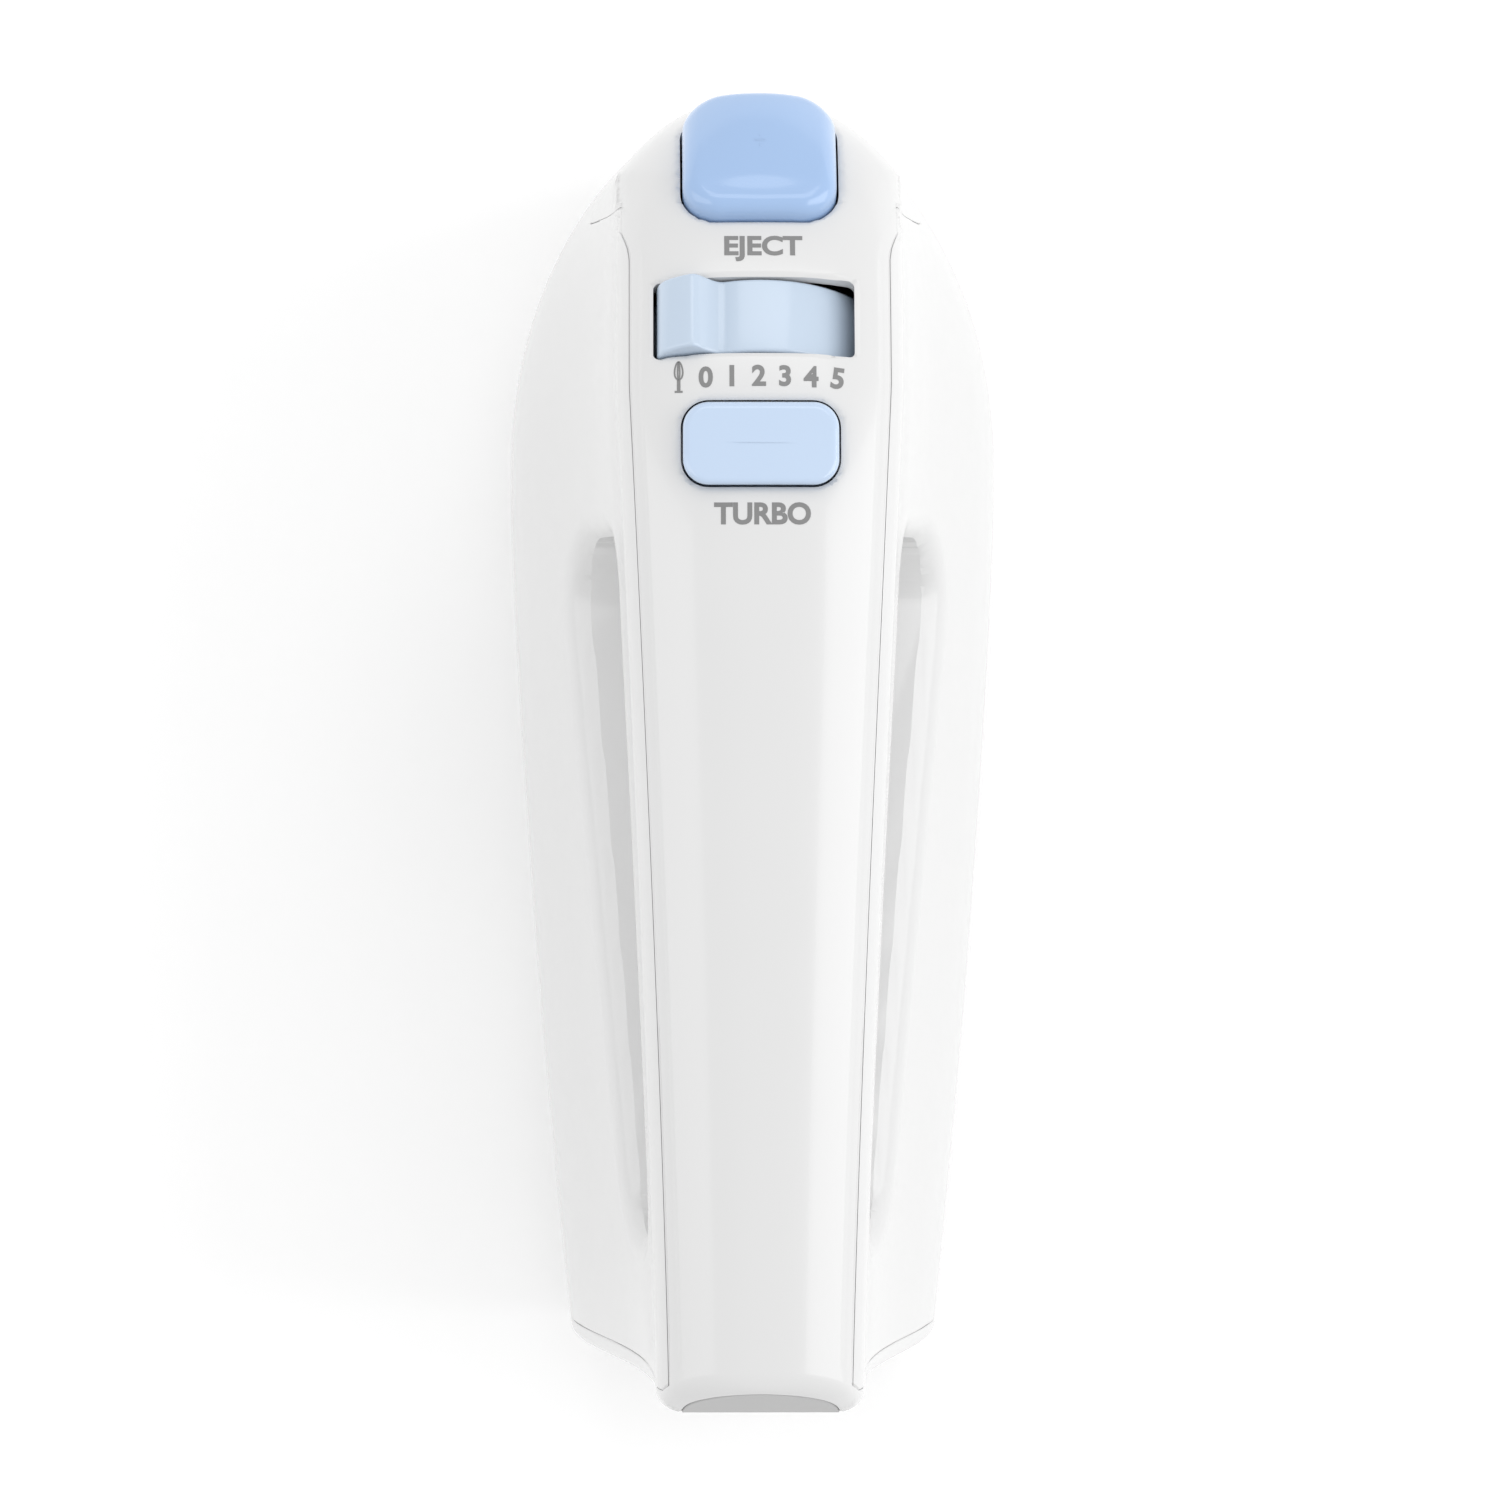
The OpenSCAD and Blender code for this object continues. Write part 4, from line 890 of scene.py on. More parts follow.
# Enamelled copper wire: orange-brown ribs, each the width of a strand.
COPPER_WIRE = Finish(
    "copper_wire_enamelled", "#B5652F", Surface.WOUND, 0.3, 1.0,
    tone=0.1, grain_mm=0.7, depth_mm=0.12, coat=0.6,
)
COPPER = Finish("copper_turned", "#C77A4B", Surface.TURNED, 0.3, 1.0, grain_mm=0.15, depth_mm=0.004)
# Sintered bronze: brownish gold with open pores.
BRONZE = Finish(
    "bronze_sintered", "#B08D4F", Surface.PRESSED, 0.46, 1.0,
    tone=0.08, grain_mm=0.35, depth_mm=0.01,
)
# Electrical steel: grey sheets 0.5 mm thick, drawn at 1 mm so that they show.
LAMINATION = Finish(
    "electrical_steel_stamped", "#83868B", Surface.STACKED, 0.42, 1.0,
    tone=0.08, grain_mm=1.0, depth_mm=0.06,
)
STEEL = Finish("bright_steel_turned", "#B9BCC0", Surface.TURNED, 0.26, 1.0, grain_mm=0.12, depth_mm=0.003)
# Pad-printed ink: flat mid grey, a touch duller than the housing.
INK = Finish(
    "grey_ink_pad_printed", "#7E7E7E", Surface.SPARKED, 0.42,
    tone=0.03, patch_mm=3, grain_mm=0.2, depth_mm=0.001, edge_mm=0,
)

BY_SLOT: dict[str, Finish] = {
    "white_gloss": GLOSS_WHITE,
    "white_satin": SATIN_WHITE,
    "grey_satin": HEEL_SHADE_GREY,
    "graphite_satin": GRAPHITE,
    "black_rubber": RUBBER,
    "blue_gloss": GLOSS_BLUE,
    "pale_blue_gloss": GLOSS_PALE,
    "natural_nylon": NYLON,
    "black_phenolic": PHENOLIC,
    "carbon": CARBON,
    "green_laminate": LAMINATE,
    "blue_sleeve": SLEEVE_BLUE,
    "aluminium": ALUMINIUM,
    "copper_wire": COPPER_WIRE,
    "copper_bar": COPPER,
    "wire_sleeve": SLEEVE_BROWN,
    "bronze": BRONZE,
    "lamination": LAMINATION,
    "steel": STEEL,
}


# ------------------------------------------------------------------- housing
@dataclass
class Housing:
    """Top cover and the two side shells, cut from one smooth moulded form.

    Args:
        form: The outer form.
        base_t: Thickness of the base panel.
        base_lip: How far the flat base stands in from the shell.
        gland_r: Radius of the cord gland.
        gland_z: Height of the cord gland.
        plate_inset: How far the heel plate stands in from the heel's sides.
        plate_lo: Height of the heel plate's lower edge.
        vent_count: Vent slots in each shell.
        vent_s: Station of the first vent slot.
        vent_pitch: Distance between vent slots.
    """

    form: HousingForm = field(default_factory=HousingForm)
    base_t: float = 3.0
    base_lip: float = 3.3
    gland_r: float = 6.4
    gland_z: float = 26.0
    plate_inset: float = 3.2
    plate_lo: float = 16.0
    vent_count: int = 9
    vent_s: float = 83.0
    vent_pitch: float = 5.0

    def slot_tool(self, grow: float) -> Solid:
        """Finger opening from side to side, grown by a margin."""
        pts = [np.array(p, float) for p in self.form.slot_points]
        outline = []
        for i, p in enumerate(pts):
            before, after = p - pts[i - 1], pts[(i + 1) % 4] - p
            a0 = math.atan2(-before[0], before[1])
            a1 = math.atan2(-after[0], after[1])
            a1 += 2 * math.pi if a1 < a0 else 0
            for t in np.linspace(a0, a1, 22):
                outline.append(p + (self.form.slot_r + grow) * np.array([math.cos(t), math.sin(t)]))
        return prism(np.array(outline), -60, 60, across)

    def heel_tool(self, depth: float) -> Solid:
        """Everything within a depth of the heel face."""
        f = self.form
        zs = np.concatenate([np.linspace(0, f.base_round, 14), np.linspace(20, f.rim_z, 6)])
        face = [(float(f.heel_s(z)) + depth, z) for z in zs]
        top = f.bevel_run + depth
        foot = (float(f.heel_s(0.0)) + depth, -9)
        outline = [(-9, -9), foot, *face, (top, f.height), (top, 144), (-9, 144)]
        return prism(np.array(outline), -80, 80, across)

    def cover_tool(self, grow: float) -> bpy.types.Object:
        """Solid that holds the top cover: band, nose cap and heel wall."""
        f = self.form
        st = np.concatenate([[-5.0], np.linspace(0, f.cap_s, 110), [f.cap_s + 1]])
        c = np.clip(st, 0, None)
        x, z = f.band_x(c) + grow, f.top_z(c) - f.band_depth - grow
        rings = [[[-a, s, b], [-a, s, 144], [a, s, 144], [a, s, b]] for a, s, b in zip(x, st, z)]
        points = np.concatenate([np.array(ring) for ring in rings])
        faces: list[Sequence[int]] = [(0, 3, 2, 1), *ring_faces(4, len(st))]
        n = 4 * (len(st) - 1)
        faces.append((n, n + 1, n + 2, n + 3))
        tool = Solid(points, faces).to_object("cover_tool")
        a, b = f.cap_s - grow, f.cap_z - grow
        cap = np.array([[a, b], [a + 60, b], [a + 60, 190], [a, 190]])
        combine(tool, prism(cap, -81, 81, across).to_object(), Op.JOIN)
        combine(tool, self.heel_tool(f.heel_wall + grow).to_object(), Op.JOIN)
        return tool

    def base_tool(self) -> Solid:
        """Opening in the underside for the base panel."""
        f = self.form
        s0 = float(f.heel_s(0.0)) * 0.62 + f.heel_edge + self.base_lip
        s1 = f.wide_end + (f.length - f.wide_end) * 0.68 - self.base_lip
        s = np.linspace(s0, s1, 41)
        x = np.maximum(0.5, f.side_x(s, np.full(41, 0.5)) - self.base_lip)
        outline = np.concatenate([np.column_stack([x, s]), np.column_stack([-x[::-1], s[::-1]])])
        return prism(outline, -1, self.base_t + f.gap)

    def plate_tools(self) -> list[Solid]:
        """Recess for the heel plate, its flat face and its bevel."""
        f, g, out = self.form, self.form.gap, 2.0
        depth, lean = 1.6 + g, math.tan(math.radians(f.heel_lean))
        z = np.linspace(self.plate_lo - g, f.rim_z + g, 15)
        x = f.side_x(np.full(15, f.heel_edge), z) - self.plate_inset + g
        face = np.concatenate([np.column_stack([x, z]), np.column_stack([-x[::-1], z[::-1]])])
        w = float(f.side_x(np.array(f.heel_edge), np.array(f.rim_z))) - self.plate_inset + g
        tall = f.bevel_h - 1.5 + g
        a = np.linspace(0, math.pi, 49)
        arch = np.column_stack([w * np.cos(a), f.rim_z + tall * np.sin(a)])
        arch = np.concatenate([[[w, f.rim_z - g]], arch, [[-w, f.rim_z - g]]])

        def on_face(p: Array) -> Array:
            return np.column_stack([p[:, 0], -p[:, 2] + (f.rim_z - p[:, 1]) * lean, p[:, 1]])

        def on_bevel(p: Array) -> Array:
            back = (p[:, 1] - f.rim_z) * f.bevel_run / f.bevel_h
            return np.column_stack([p[:, 0], -p[:, 2] + back, p[:, 1]])

        return [prism(face, -depth, out, on_face), prism(arch, -depth, out, on_bevel)]

    def gland_tool(self) -> Solid:
        """Hole for the cord gland."""
        a = np.linspace(0, 2 * math.pi, 64, endpoint=False)
        r = self.gland_r + self.form.gap
        outline = np.column_stack([r * np.cos(a), self.gland_z + r * np.sin(a)])
        return prism(outline, -25, 5, lambda p: np.column_stack([p[:, 0], -p[:, 2], p[:, 1]]))

    def window_tools(self) -> list[Solid]:
        """Windows of the turbo key, the selector and the eject button."""
        f, g = self.form, 2 * self.form.key_gap
        turbo = pill_outline(f.key_w + g, f.turbo_l + g, 4.4)
        roller = pill_outline(31.4, f.roller_l + g, 1.0)
        eject = pill_outline(f.key_w + g, f.eject_l + g, 6.4)
        return [
            prism(turbo, 110, 144, lambda p: p + np.array([0, f.turbo_s, 0])),
            prism(roller, -9, 11, lambda p: f.roller_axes().out(p + np.array([-1, 0, 0]))),
            prism(eject, -14, 26, lambda p: f.eject_axes().out(p + np.array([0, 1, 0]))),
        ]

    def build(self) -> None:
        """Make, dress and place the three housing mouldings."""
        f = self.form
        solid, normals = FormGrid(f).build()
        skin = SkinSurface(solid, normals)
        moulding = solid.to_object("moulding")
        hollow = FormGrid(f, f.wall, fine=False).build()[0].to_object("hollow")
        combine(hollow, self.slot_tool(f.wall).to_object(), Op.CUT)
        combine(hollow, self.heel_tool(f.heel_wall).to_object(), Op.CUT)
        combine(moulding, hollow, Op.CUT)
        combine(moulding, self.slot_tool(0).to_object(), Op.CUT)
        combine(moulding, self.base_tool().to_object(), Op.CUT)
        LOG.info("moulding: %d faces", len(moulding.data.polygons))
        cover = twin(moulding)
        combine(cover, self.cover_tool(0), Op.KEEP)
        for tool in (*self.window_tools(), *self.plate_tools(), self.gland_tool()):
            combine(cover, tool.to_object(), Op.CUT)
        self.finish(cover, "top_cover_skin", "top_cover", skin)
        combine(moulding, self.cover_tool(f.seam_gap), Op.CUT)
        for side, name in ((-1, "left_shell"), (1, "right_shell")):
            shell = twin(moulding)
            lo, hi = (f.gap / 2, 80) if side > 0 else (-80, -f.gap / 2)
            half = np.array([[-9, -9], [220, -9], [220, 150], [-9, 150]])
            combine(shell, prism(half, lo, hi, across).to_object(), Op.KEEP)
            for i in range(self.vent_count):
                vent = pill_outline(2, 12, 0.999, 6) + np.array([self.vent_s + i * self.vent_pitch, 19.0])
                lo, hi = (26, 60) if side > 0 else (-60, -26)
                combine(shell, prism(vent, lo, hi, across).to_object(), Op.CUT)
            self.finish(shell, f"{name}_skin", name, skin)
        drop(moulding)

    def finish(self, obj: bpy.types.Object, name: str, node: str, skin: SkinSurface) -> None:
        """Smooth, place and dress one moulding.

        Args:
            obj: The cut moulding in millimetres.
            name: Its name.
            node: The frame node that it stands for.
            skin: The uncut surface.
        """
        smooth(obj, 34, skin)
        to_frame(obj, self.form.length)
        dress(obj, GLOSS_WHITE.material())
        keep_piece(obj, name, "housing", [node])


# ------------------------------------------------------------------ controls
def together(solids: Sequence[Solid]) -> Solid:
    """Hold several closed solids as one mesh."""
    points, faces, start = [], [], 0
    for solid in solids:
        points.append(solid.points)
        faces += [tuple(i + start for i in f) for f in solid.faces]
        start += len(solid.points)
    return Solid(np.vstack(points), faces)


@dataclass(frozen=True)
class KeyCap:
    """Push key with a rounded outline, rounded edges and a shaped top, in its own axes.

    Args:
        width: Size across.
        length: Size along.
        corner: Corner radius in plan.
        edge: Radius of the rounding along the top edge.
        skirt: Height of the open lower edge.
        shift: How far the outline's centre stands along.
        top: Height of the top over a point.
        side_steps: Points along each straight side.
    """

    width: float
    length: float
    corner: float
    edge: float
    skirt: float
    shift: float
    top: Callable[[Array, Array], Array]
    side_steps: int = 14

    def outline(self, inset: float) -> Array:
        """Outline drawn in by an inset, with points along its straight sides."""
        n = 13
        w, l = self.width - 2 * inset, self.length - 2 * inset
        base = pill_outline(w, l, min(max(self.corner - inset, 0.12), 0.499 * l), n - 1)
        t = np.arange(1, self.side_steps + 1)[:, None] / (self.side_steps + 1)
        rows = []
        for k in range(4):
            corner, after = base[k * n : (k + 1) * n], base[((k + 1) * n) % (4 * n)]
            rows += [corner, corner[-1] * (1 - t) + after * t]
        return np.vstack(rows) + np.array([0, self.shift])

    def build(self) -> Solid:
        """Make the closed cap."""
        a = np.radians(np.linspace(0, 90, 10))
        insets = list(self.edge * (1 - np.cos(a)))
        drops = list(self.edge * (1 - np.sin(a)))
        inner = np.linspace(self.edge, self.length / 2 - 0.15, 13)[1:]
        rings = []
        for inset, fall in zip(insets + list(inner), drops + [0.0] * len(inner)):
            o = self.outline(inset)
            rings.append(np.column_stack([o, self.top(o[:, 0], o[:, 1]) - fall]))
        low = self.outline(0)
        rings.insert(0, np.column_stack([low, np.full(len(low), self.skirt)]))
        m = len(low)
        faces: list[Sequence[int]] = [tuple(range(m - 1, -1, -1)), *ring_faces(m, len(rings))]
        last = (len(rings) - 1) * m
        faces.append(tuple(range(last, last + m)))
        return Solid(np.vstack(rings), faces)


@dataclass(frozen=True)
class EjectButton:
    """Blue button over the nose that pushes the beaters out.

    Args:
        form: The housing's form.
        edge: Rounding of its top edge.
        crown: How far its sides fall below its middle.
        foot_z: Local height of the stem's foot.
    """

    form: HousingForm
    edge: float = 2.6
    crown: float = 0.9
    foot_z: float = -20.0

    def top(self, x: Array, y: Array) -> Array:
        """Height of the arched top."""
        fit = np.polyfit([-12.5, -6, 0, 6, 10, 14.5], [4.2, 4.5, 4.4, 3.75, 2.8, 1.0], 4)
        sides = self.crown + 2.6 * ramp(y, -6, 14)
        dish = 0.45 * np.exp(-((x / 8.5) ** 2) - ((y + 9.2) / 2.6) ** 2)
        return np.polyval(fit, y) - sides * np.abs(x / 12) ** 2.3 - dish

    def build(self) -> None:
        """Make, dress and place it."""
        f = self.form
        cap = KeyCap(f.key_w, f.eject_l, 6.2, self.edge, -8.0, 1.0, self.top).build()
        stem = prism(pill_outline(8, 5, 0.6, 4), self.foot_z, -7.9)
        solid = together([cap, stem])
        solid.points = f.eject_axes().out(solid.points)
        obj = solid.to_object("eject_button_cap")
        smooth(obj, 50)
        to_frame(obj, f.length)
        dress(obj, GLOSS_BLUE.material())
        keep_piece(obj, "eject_button_cap", "eject_key", ["eject_button"])


@dataclass(frozen=True)
class TurboButton:
    """Pale key that gives full speed while it is held down.

    Args:
        form: The housing's form.
        rise: How far it stands proud.
        edge: Rounding of its top edge.
        crown: How far its ends fall below its middle.
        lip_z: Height of the flange's upper face under the top surface.
        lip_t: Thickness of the flange.
    """

    form: HousingForm
    rise: float = 2.2
    edge: float = 1.1
    crown: float = 0.55
    lip_z: float = -6.1
    lip_t: float = 1.2

    def slope(self) -> float:
        """Fall of the deck along the key."""
        f, h = self.form, self.form.turbo_l / 2
        ends = f.top_z(np.array([f.turbo_s - h, f.turbo_s + h]))
        return float(ends[1] - ends[0]) / f.turbo_l

    def top(self, x: Array, y: Array) -> Array:
        """Height of the top, which follows the deck."""
        return self.rise + self.slope() * y - self.crown * (x / 12) ** 2

    def build(self) -> None:
        """Make, dress and place it."""
        f, k = self.form, self.slope()
        cap = KeyCap(f.key_w, f.turbo_l, 4.0, self.edge, self.lip_z - 0.4, 0.0, self.top, 12).build()
        flange = prism(pill_outline(f.key_w + 3, f.turbo_l + 2.4, 4.4), self.lip_z - self.lip_t, self.lip_z)
        flange.points[:, 2] += k * flange.points[:, 1]
        stem = prism(pill_outline(4, 4, 1.999, 8), -17.0, self.lip_z - 0.6)
        solid = together([cap, flange, stem])
        z = float(f.top_z(np.array(f.turbo_s)))
        solid.points = solid.points + np.array([0, f.turbo_s, z])
        obj = solid.to_object("turbo_key_cap")
        smooth(obj, 50)
        to_frame(obj, f.length)
        dress(obj, GLOSS_PALE.material())
        keep_piece(obj, "turbo_key_cap", "turbo_key", ["turbo_button"])


@dataclass(frozen=True)
class SpeedSelector:
    """Roller with a thumb tab that sets the speed.

    Args:
        form: The housing's form.
        radius: Radius of the roller.
        length: Length of the roller.
        off: How far its axle lies under the top surface.
        rest: Angle of the tab at rest, towards the left.
        rim: Thickness of the rim.
        hub_r: Radius of the hub.
        bore_r: Radius of the axle's hole.
        edge: Rounding of the side edges.
    """

    form: HousingForm
    radius: float = 19.0
    length: float = 12.4
    off: float = 19.6
    rest: float = 31.0
    rim: float = 1.8
    hub_r: float = 4.6
    bore_r: float = 2.05
    edge: float = 0.6

    def outline(self) -> Array:
        """Side outline, its tab pointing up."""
        r = self.radius
        foot = [(x, math.sqrt(r * r - x * x)) for x in (4.4, -6.8)]
        tab = [foot[0], (3.5, r + 0.1), (2.8, r + 1.8), (2.3, r + 4.1), (1.5, r + 4.95), (-2.6, r + 4.95)]
        tab += [(-4.8, r + 4.0), (-6.6, r + 1.6), foot[1]]
        pts = np.array(tab, float)
        for _ in range(3):
            q = pts[:-1] * 0.75 + pts[1:] * 0.25
            w = pts[:-1] * 0.25 + pts[1:] * 0.75
            pts = np.vstack([pts[:1], np.column_stack([q, w]).reshape(-1, 2), pts[-1:]])
        a0 = math.atan2(pts[-1][1], pts[-1][0])
        a1 = math.atan2(pts[0][1], pts[0][0]) + 2 * math.pi
        a = np.linspace(a0, a1, 190)[1:-1]
        return np.vstack([pts, r * np.column_stack([np.cos(a), np.sin(a)])])

    def build(self) -> None:
        """Make, dress and place it."""
        o = self.outline()
        size = np.linalg.norm(o, axis=1, keepdims=True)
        unit = o / size
        h, e = self.length / 2, self.edge
        rings: list[tuple[Array, float]] = [(unit * self.bore_r, -h - 0.5), (unit * self.hub_r, -h - 0.5)]
        rings += [(unit * self.hub_r, -1.0), (unit * (self.radius - self.rim), -1.0)]
        rings += [(unit * (self.radius - self.rim), -h)]
        turns = np.radians(np.linspace(0, 90, 6))
        rings += [(o - unit * e * (1 - math.sin(t)), -h + e * (1 - math.cos(t))) for t in turns]
        rings += [(p, -w) for p, w in reversed(rings)]
        turn = math.radians(self.rest)
        c, s = math.cos(turn), math.sin(turn)
        points = []
        for p, w in rings:
            u, v = c * p[:, 0] - s * p[:, 1], s * p[:, 0] + c * p[:, 1]
            points.append(np.column_stack([u, np.full(len(p), w), v - self.off]))
        m, n = len(o), len(rings)
        faces = []
        for i in range(n):
            a, b = i * m, ((i + 1) % n) * m
            faces += [(a + j, b + j, b + (j + 1) % m, a + (j + 1) % m) for j in range(m)]
        solid = Solid(self.form.roller_axes().out(np.vstack(points)), faces)
        obj = solid.to_object("speed_selector_roller")
        mesh = bmesh.new()
        mesh.from_mesh(obj.data)
        bmesh.ops.recalc_face_normals(mesh, faces=mesh.faces)
        mesh.to_mesh(obj.data)
        mesh.free()
        smooth(obj, 38)
        to_frame(obj, self.form.length)
        dress(obj, GLOSS_ICE.material())
        keep_piece(obj, "speed_selector_roller", "selector", ["speed_selector"])


# -------------------------------------------------------------------- labels
@dataclass(frozen=True)
class Word:
    """One printed word or digit.

    Args:
        text: Its letters.
        x: Its centre across.
        s: Its centre along.
        height: Height of its letters.
        width: Width of the word, or 0 to keep the font's own.
        turn: Degrees that it is turned.
    """

    text: str
    x: float
    s: float
    height: float
    width: float = 0.0
    turn: float = 0.0


@dataclass(frozen=True)
class Labels:
    """Printed function names and speed scale on the deck.

    Args:
        form: The housing's form.
        lift: Thickness of the ink over the surface.
        bold: How far the letters are thickened, for letters 1 high.
    """

    form: HousingForm
    lift: float = 0.035
    bold: float = 0.034
    words: tuple[Word, ...] = (
        Word("EJECT", 0.5, 181.3, 4.1, 12.2),
        Word("TURBO", 0.2, 139.6, 3.5, 15.0),
        Word("0", -8.55, 160.9, 3.35),
        Word("1", -4.5, 161.1, 3.35),
        Word("2", -0.3, 161.15, 3.35),
        Word("3", 3.75, 161.1, 3.35),
        Word("4", 7.8, 160.95, 3.35),
        Word("5", 11.95, 160.7, 3.35, 0, -8),
    )

    def deck(self, x: Array, s: Array) -> Array:
        """Points of the deck over a plan, lifted by the ink."""
        f = self.form

        def surface(u: Array, v: Array) -> Array:
            p = np.stack([u, v, f.z_at(v, np.abs(u))], axis=-1)
            return p - np.array([0, 0, 1]) * f.relief(p)[..., None]

        p = surface(x, s)
        du, dv = surface(x + 0.2, s) - p, surface(x, s + 0.2) - p
        n = np.cross(du, dv)
        return p + self.lift * n / np.linalg.norm(n, axis=-1, keepdims=True)

    def letters(self, word: Word) -> tuple[Array, list[Sequence[int]]]:
        """Flat letters of a word, placed in plan."""
        curve = bpy.data.curves.new("letters", "FONT")
        curve.body = word.text
        curve.offset = self.bold
        curve.resolution_u = 5
        obj = bpy.data.objects.new("letters", curve)
        bpy.context.scene.collection.objects.link(obj)
        graph = bpy.context.evaluated_depsgraph_get()
        mesh = bpy.data.meshes.new_from_object(obj.evaluated_get(graph))
        p = np.array([v.co[:2] for v in mesh.vertices])
        faces: list[Sequence[int]] = [tuple(f.vertices) for f in mesh.polygons]
        bpy.data.objects.remove(obj)
        bpy.data.meshes.remove(mesh)
        lo, hi = p.min(0), p.max(0)
        k = word.height / (hi[1] - lo[1])
        scale = np.array([word.width / (hi[0] - lo[0]) if word.width else k, k])
        p = (p - (lo + hi) / 2) * scale
        a = math.radians(word.turn)
        spin = np.array([[math.cos(a), math.sin(a)], [-math.sin(a), math.cos(a)]])
        return p @ spin + np.array([word.x, word.s]), faces

    @staticmethod
    def stroke(line: Array, width: float) -> tuple[Array, list[Sequence[int]]]:
        """Ribbon of ink along a line."""
        along = np.gradient(line, axis=0)
        along /= np.linalg.norm(along, axis=1, keepdims=True)
        side = np.column_stack([along[:, 1], -along[:, 0]]) * width / 2
        n = len(line)
        faces = [(i, i + 1, n + i + 1, n + i) for i in range(n - 1)]
        return np.vstack([line + side, line - side]), faces

    def whisk(self, x: float, s: float) -> list[tuple[Array, list[Sequence[int]]]]:
        """Small whisk that marks the scale: a handle and two wire loops."""
        a = np.linspace(-math.pi / 2, 1.5 * math.pi, 40)
        centre = np.array([x, s])
        handle = np.array([[0.0, -2.2], [0.0, -1.3], [0.0, -0.3]])
        parts = [self.stroke(centre + handle, 0.55)]
        parts.append(self.stroke(centre + np.array([[-0.62, -2.3], [0.0, -2.3], [0.62, -2.3]]), 0.32))
        for wide in (0.62, 0.16):
            loop = np.column_stack([wide * np.cos(a) * (1 - 0.2 * np.sin(a)), 1.0 + 1.4 * np.sin(a)])
            parts.append(self.stroke(centre + loop, 0.26))
        return parts

    def build(self) -> None:
        """Lay every label on the deck as one piece."""
        parts = [self.letters(w) for w in self.words] + self.whisk(-12.75, 160.9)
        laid = [Solid(self.deck(p[:, 0], p[:, 1]), faces) for p, faces in parts]
        obj = together(laid).to_object("printed_labels")
        smooth(obj)
        to_frame(obj, self.form.length)
        dress(obj, INK.material())
        keep_piece(obj, "printed_labels", "housing", [])


# --------------------------------------------------------- frame's own nodes
class Mechanism:
    """Everything that keeps its frame shape and gets its real finish."""

    @staticmethod
    def dress_nodes() -> None:
        """Give every node that is still shown the finish of its slot."""
        for part in frame["record"]["subparts"]:
            obj = frame["nodes"][part["node"]]
            if obj.hide_render:
                continue
            material = BY_SLOT[part["material_slot"]].material()
            if not obj.material_slots:
                obj.data.materials.append(material)
            for place in obj.material_slots:
                place.material = material
            LOG.info("%s: %s", part["node"], material.name)


# -------------------------------------------------------------------- studio
@dataclass(frozen=True)
class Softbox:
    """One large soft light.

    Args:
        name: Its name.
        place: Where it hangs, in metres.
        aim: Where it points.
        size: Width and height in metres.
        power: Watts.
    """

    name: str
    place: tuple[float, float, float]
    aim: tuple[float, float, float]
    size: tuple[float, float]
    power: float

    def build(self) -> None:
        """Hang it, out of the camera's sight."""
        light = bpy.data.lights.new(self.name, "AREA")
        light.shape = "RECTANGLE"
        light.size, light.size_y = self.size
        light.energy = self.power
        obj = bpy.data.objects.new(self.name, light)
        obj.location = self.place
        obj.rotation_euler = (Vector(self.aim) - Vector(self.place)).to_track_quat("-Z", "Y").to_euler()
        obj.visible_camera = False
        bpy.context.scene.collection.objects.link(obj)


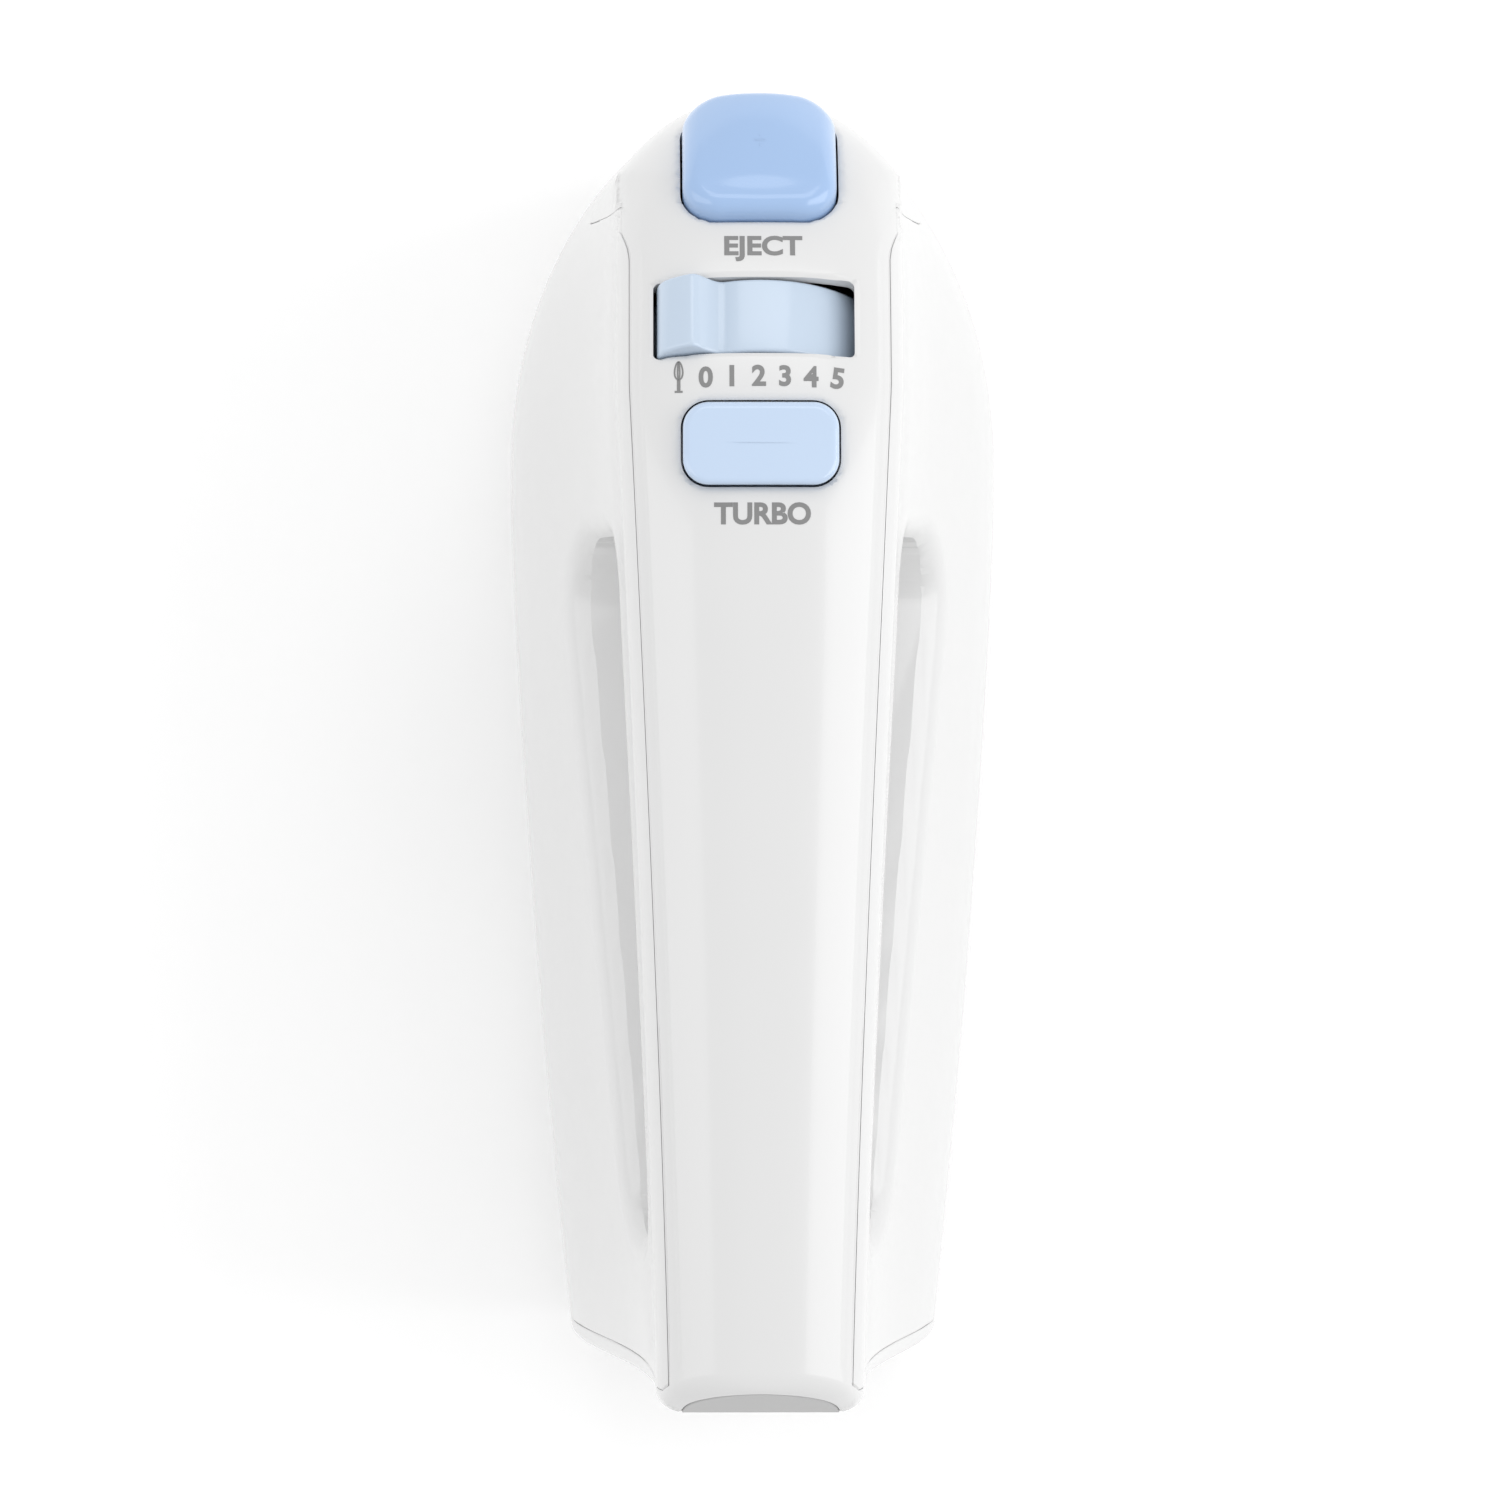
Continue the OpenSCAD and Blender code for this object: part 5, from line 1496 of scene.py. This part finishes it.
@dataclass(frozen=True)
class Studio:
    """Pale floor, soft lights and the camera over the deck.

    Args:
        eye: Camera place in metres.
        aim: Point that it looks at.
        lens: Focal length in millimetres on a 36 mm sensor.
        sky: Strength of the even surrounding light.
    """

    eye: tuple[float, float, float] = (-0.0197, -0.001, 1.6)
    aim: tuple[float, float, float] = (-0.0017, -0.001, 0.13)
    lens: float = 227.5
    sky: float = 0.87
    lights: tuple[Softbox, ...] = (
        Softbox("right_softbox", (1.25, 0.1, 0.9), (0, 0, 0.06), (0.9, 1.6), 8.8),
        Softbox("left_softbox", (-1.3, 0.1, 0.95), (0, 0, 0.06), (0.8, 1.6), 4.4),
        Softbox("front_softbox", (0.1, 1.2, 1.1), (0, 0.02, 0.1), (1.2, 0.6), 2.8),
    )

    def camera(self) -> None:
        """Set the camera, the nose at the top of the picture."""
        data = bpy.data.cameras.new("camera")
        data.lens, data.sensor_width = self.lens, 36
        data.clip_start, data.clip_end = 0.05, 20
        back = (Vector(self.eye) - Vector(self.aim)).normalized()
        right = Vector((0, 1, 0)).cross(back).normalized()
        up = back.cross(right)
        obj = bpy.data.objects.new("camera", data)
        obj.matrix_world = Matrix.Translation(self.eye) @ Matrix((right, up, back)).transposed().to_4x4()
        bpy.context.scene.collection.objects.link(obj)
        bpy.context.scene.camera = obj

    def floor(self) -> None:
        """Lay a wide pale floor."""
        mesh = bpy.data.meshes.new("floor")
        mesh.from_pydata([(-4, -4, 0), (4, -4, 0), (4, 4, 0), (-4, 4, 0)], [], [(0, 1, 2, 3)])
        obj = bpy.data.objects.new("floor", mesh)
        bpy.context.scene.collection.objects.link(obj)
        paper = Finish(
            "white_paper_matt", "#FFFFFF", Surface.SPARKED, 0.9,
            tone=0.004, patch_mm=300, grain_mm=0.5, depth_mm=0.002, edge_mm=0,
        )
        dress(obj, paper.material())

    def build(self) -> None:
        """Set the surroundings, floor and lights."""
        scene = bpy.context.scene
        world = bpy.data.worlds.new("surround")
        scene.world = world
        world.use_nodes = True
        world.node_tree.nodes["Background"].inputs[0].default_value = (1, 1, 1, 1)
        world.node_tree.nodes["Background"].inputs[1].default_value = self.sky
        scene.view_settings.view_transform = "Standard"
        self.floor()
        for light in self.lights:
            light.build()


def main() -> None:
    """Build the mixer's looks and the studio."""
    logging.basicConfig(level=logging.INFO, format="%(message)s")
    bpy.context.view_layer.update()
    studio = Studio()
    studio.camera()
    form = HousingForm()
    Housing(form).build()
    EjectButton(form).build()
    TurboButton(form).build()
    SpeedSelector(form).build()
    Labels(form).build()
    Mechanism.dress_nodes()
    studio.build()


if __name__ == "__main__":
    main()
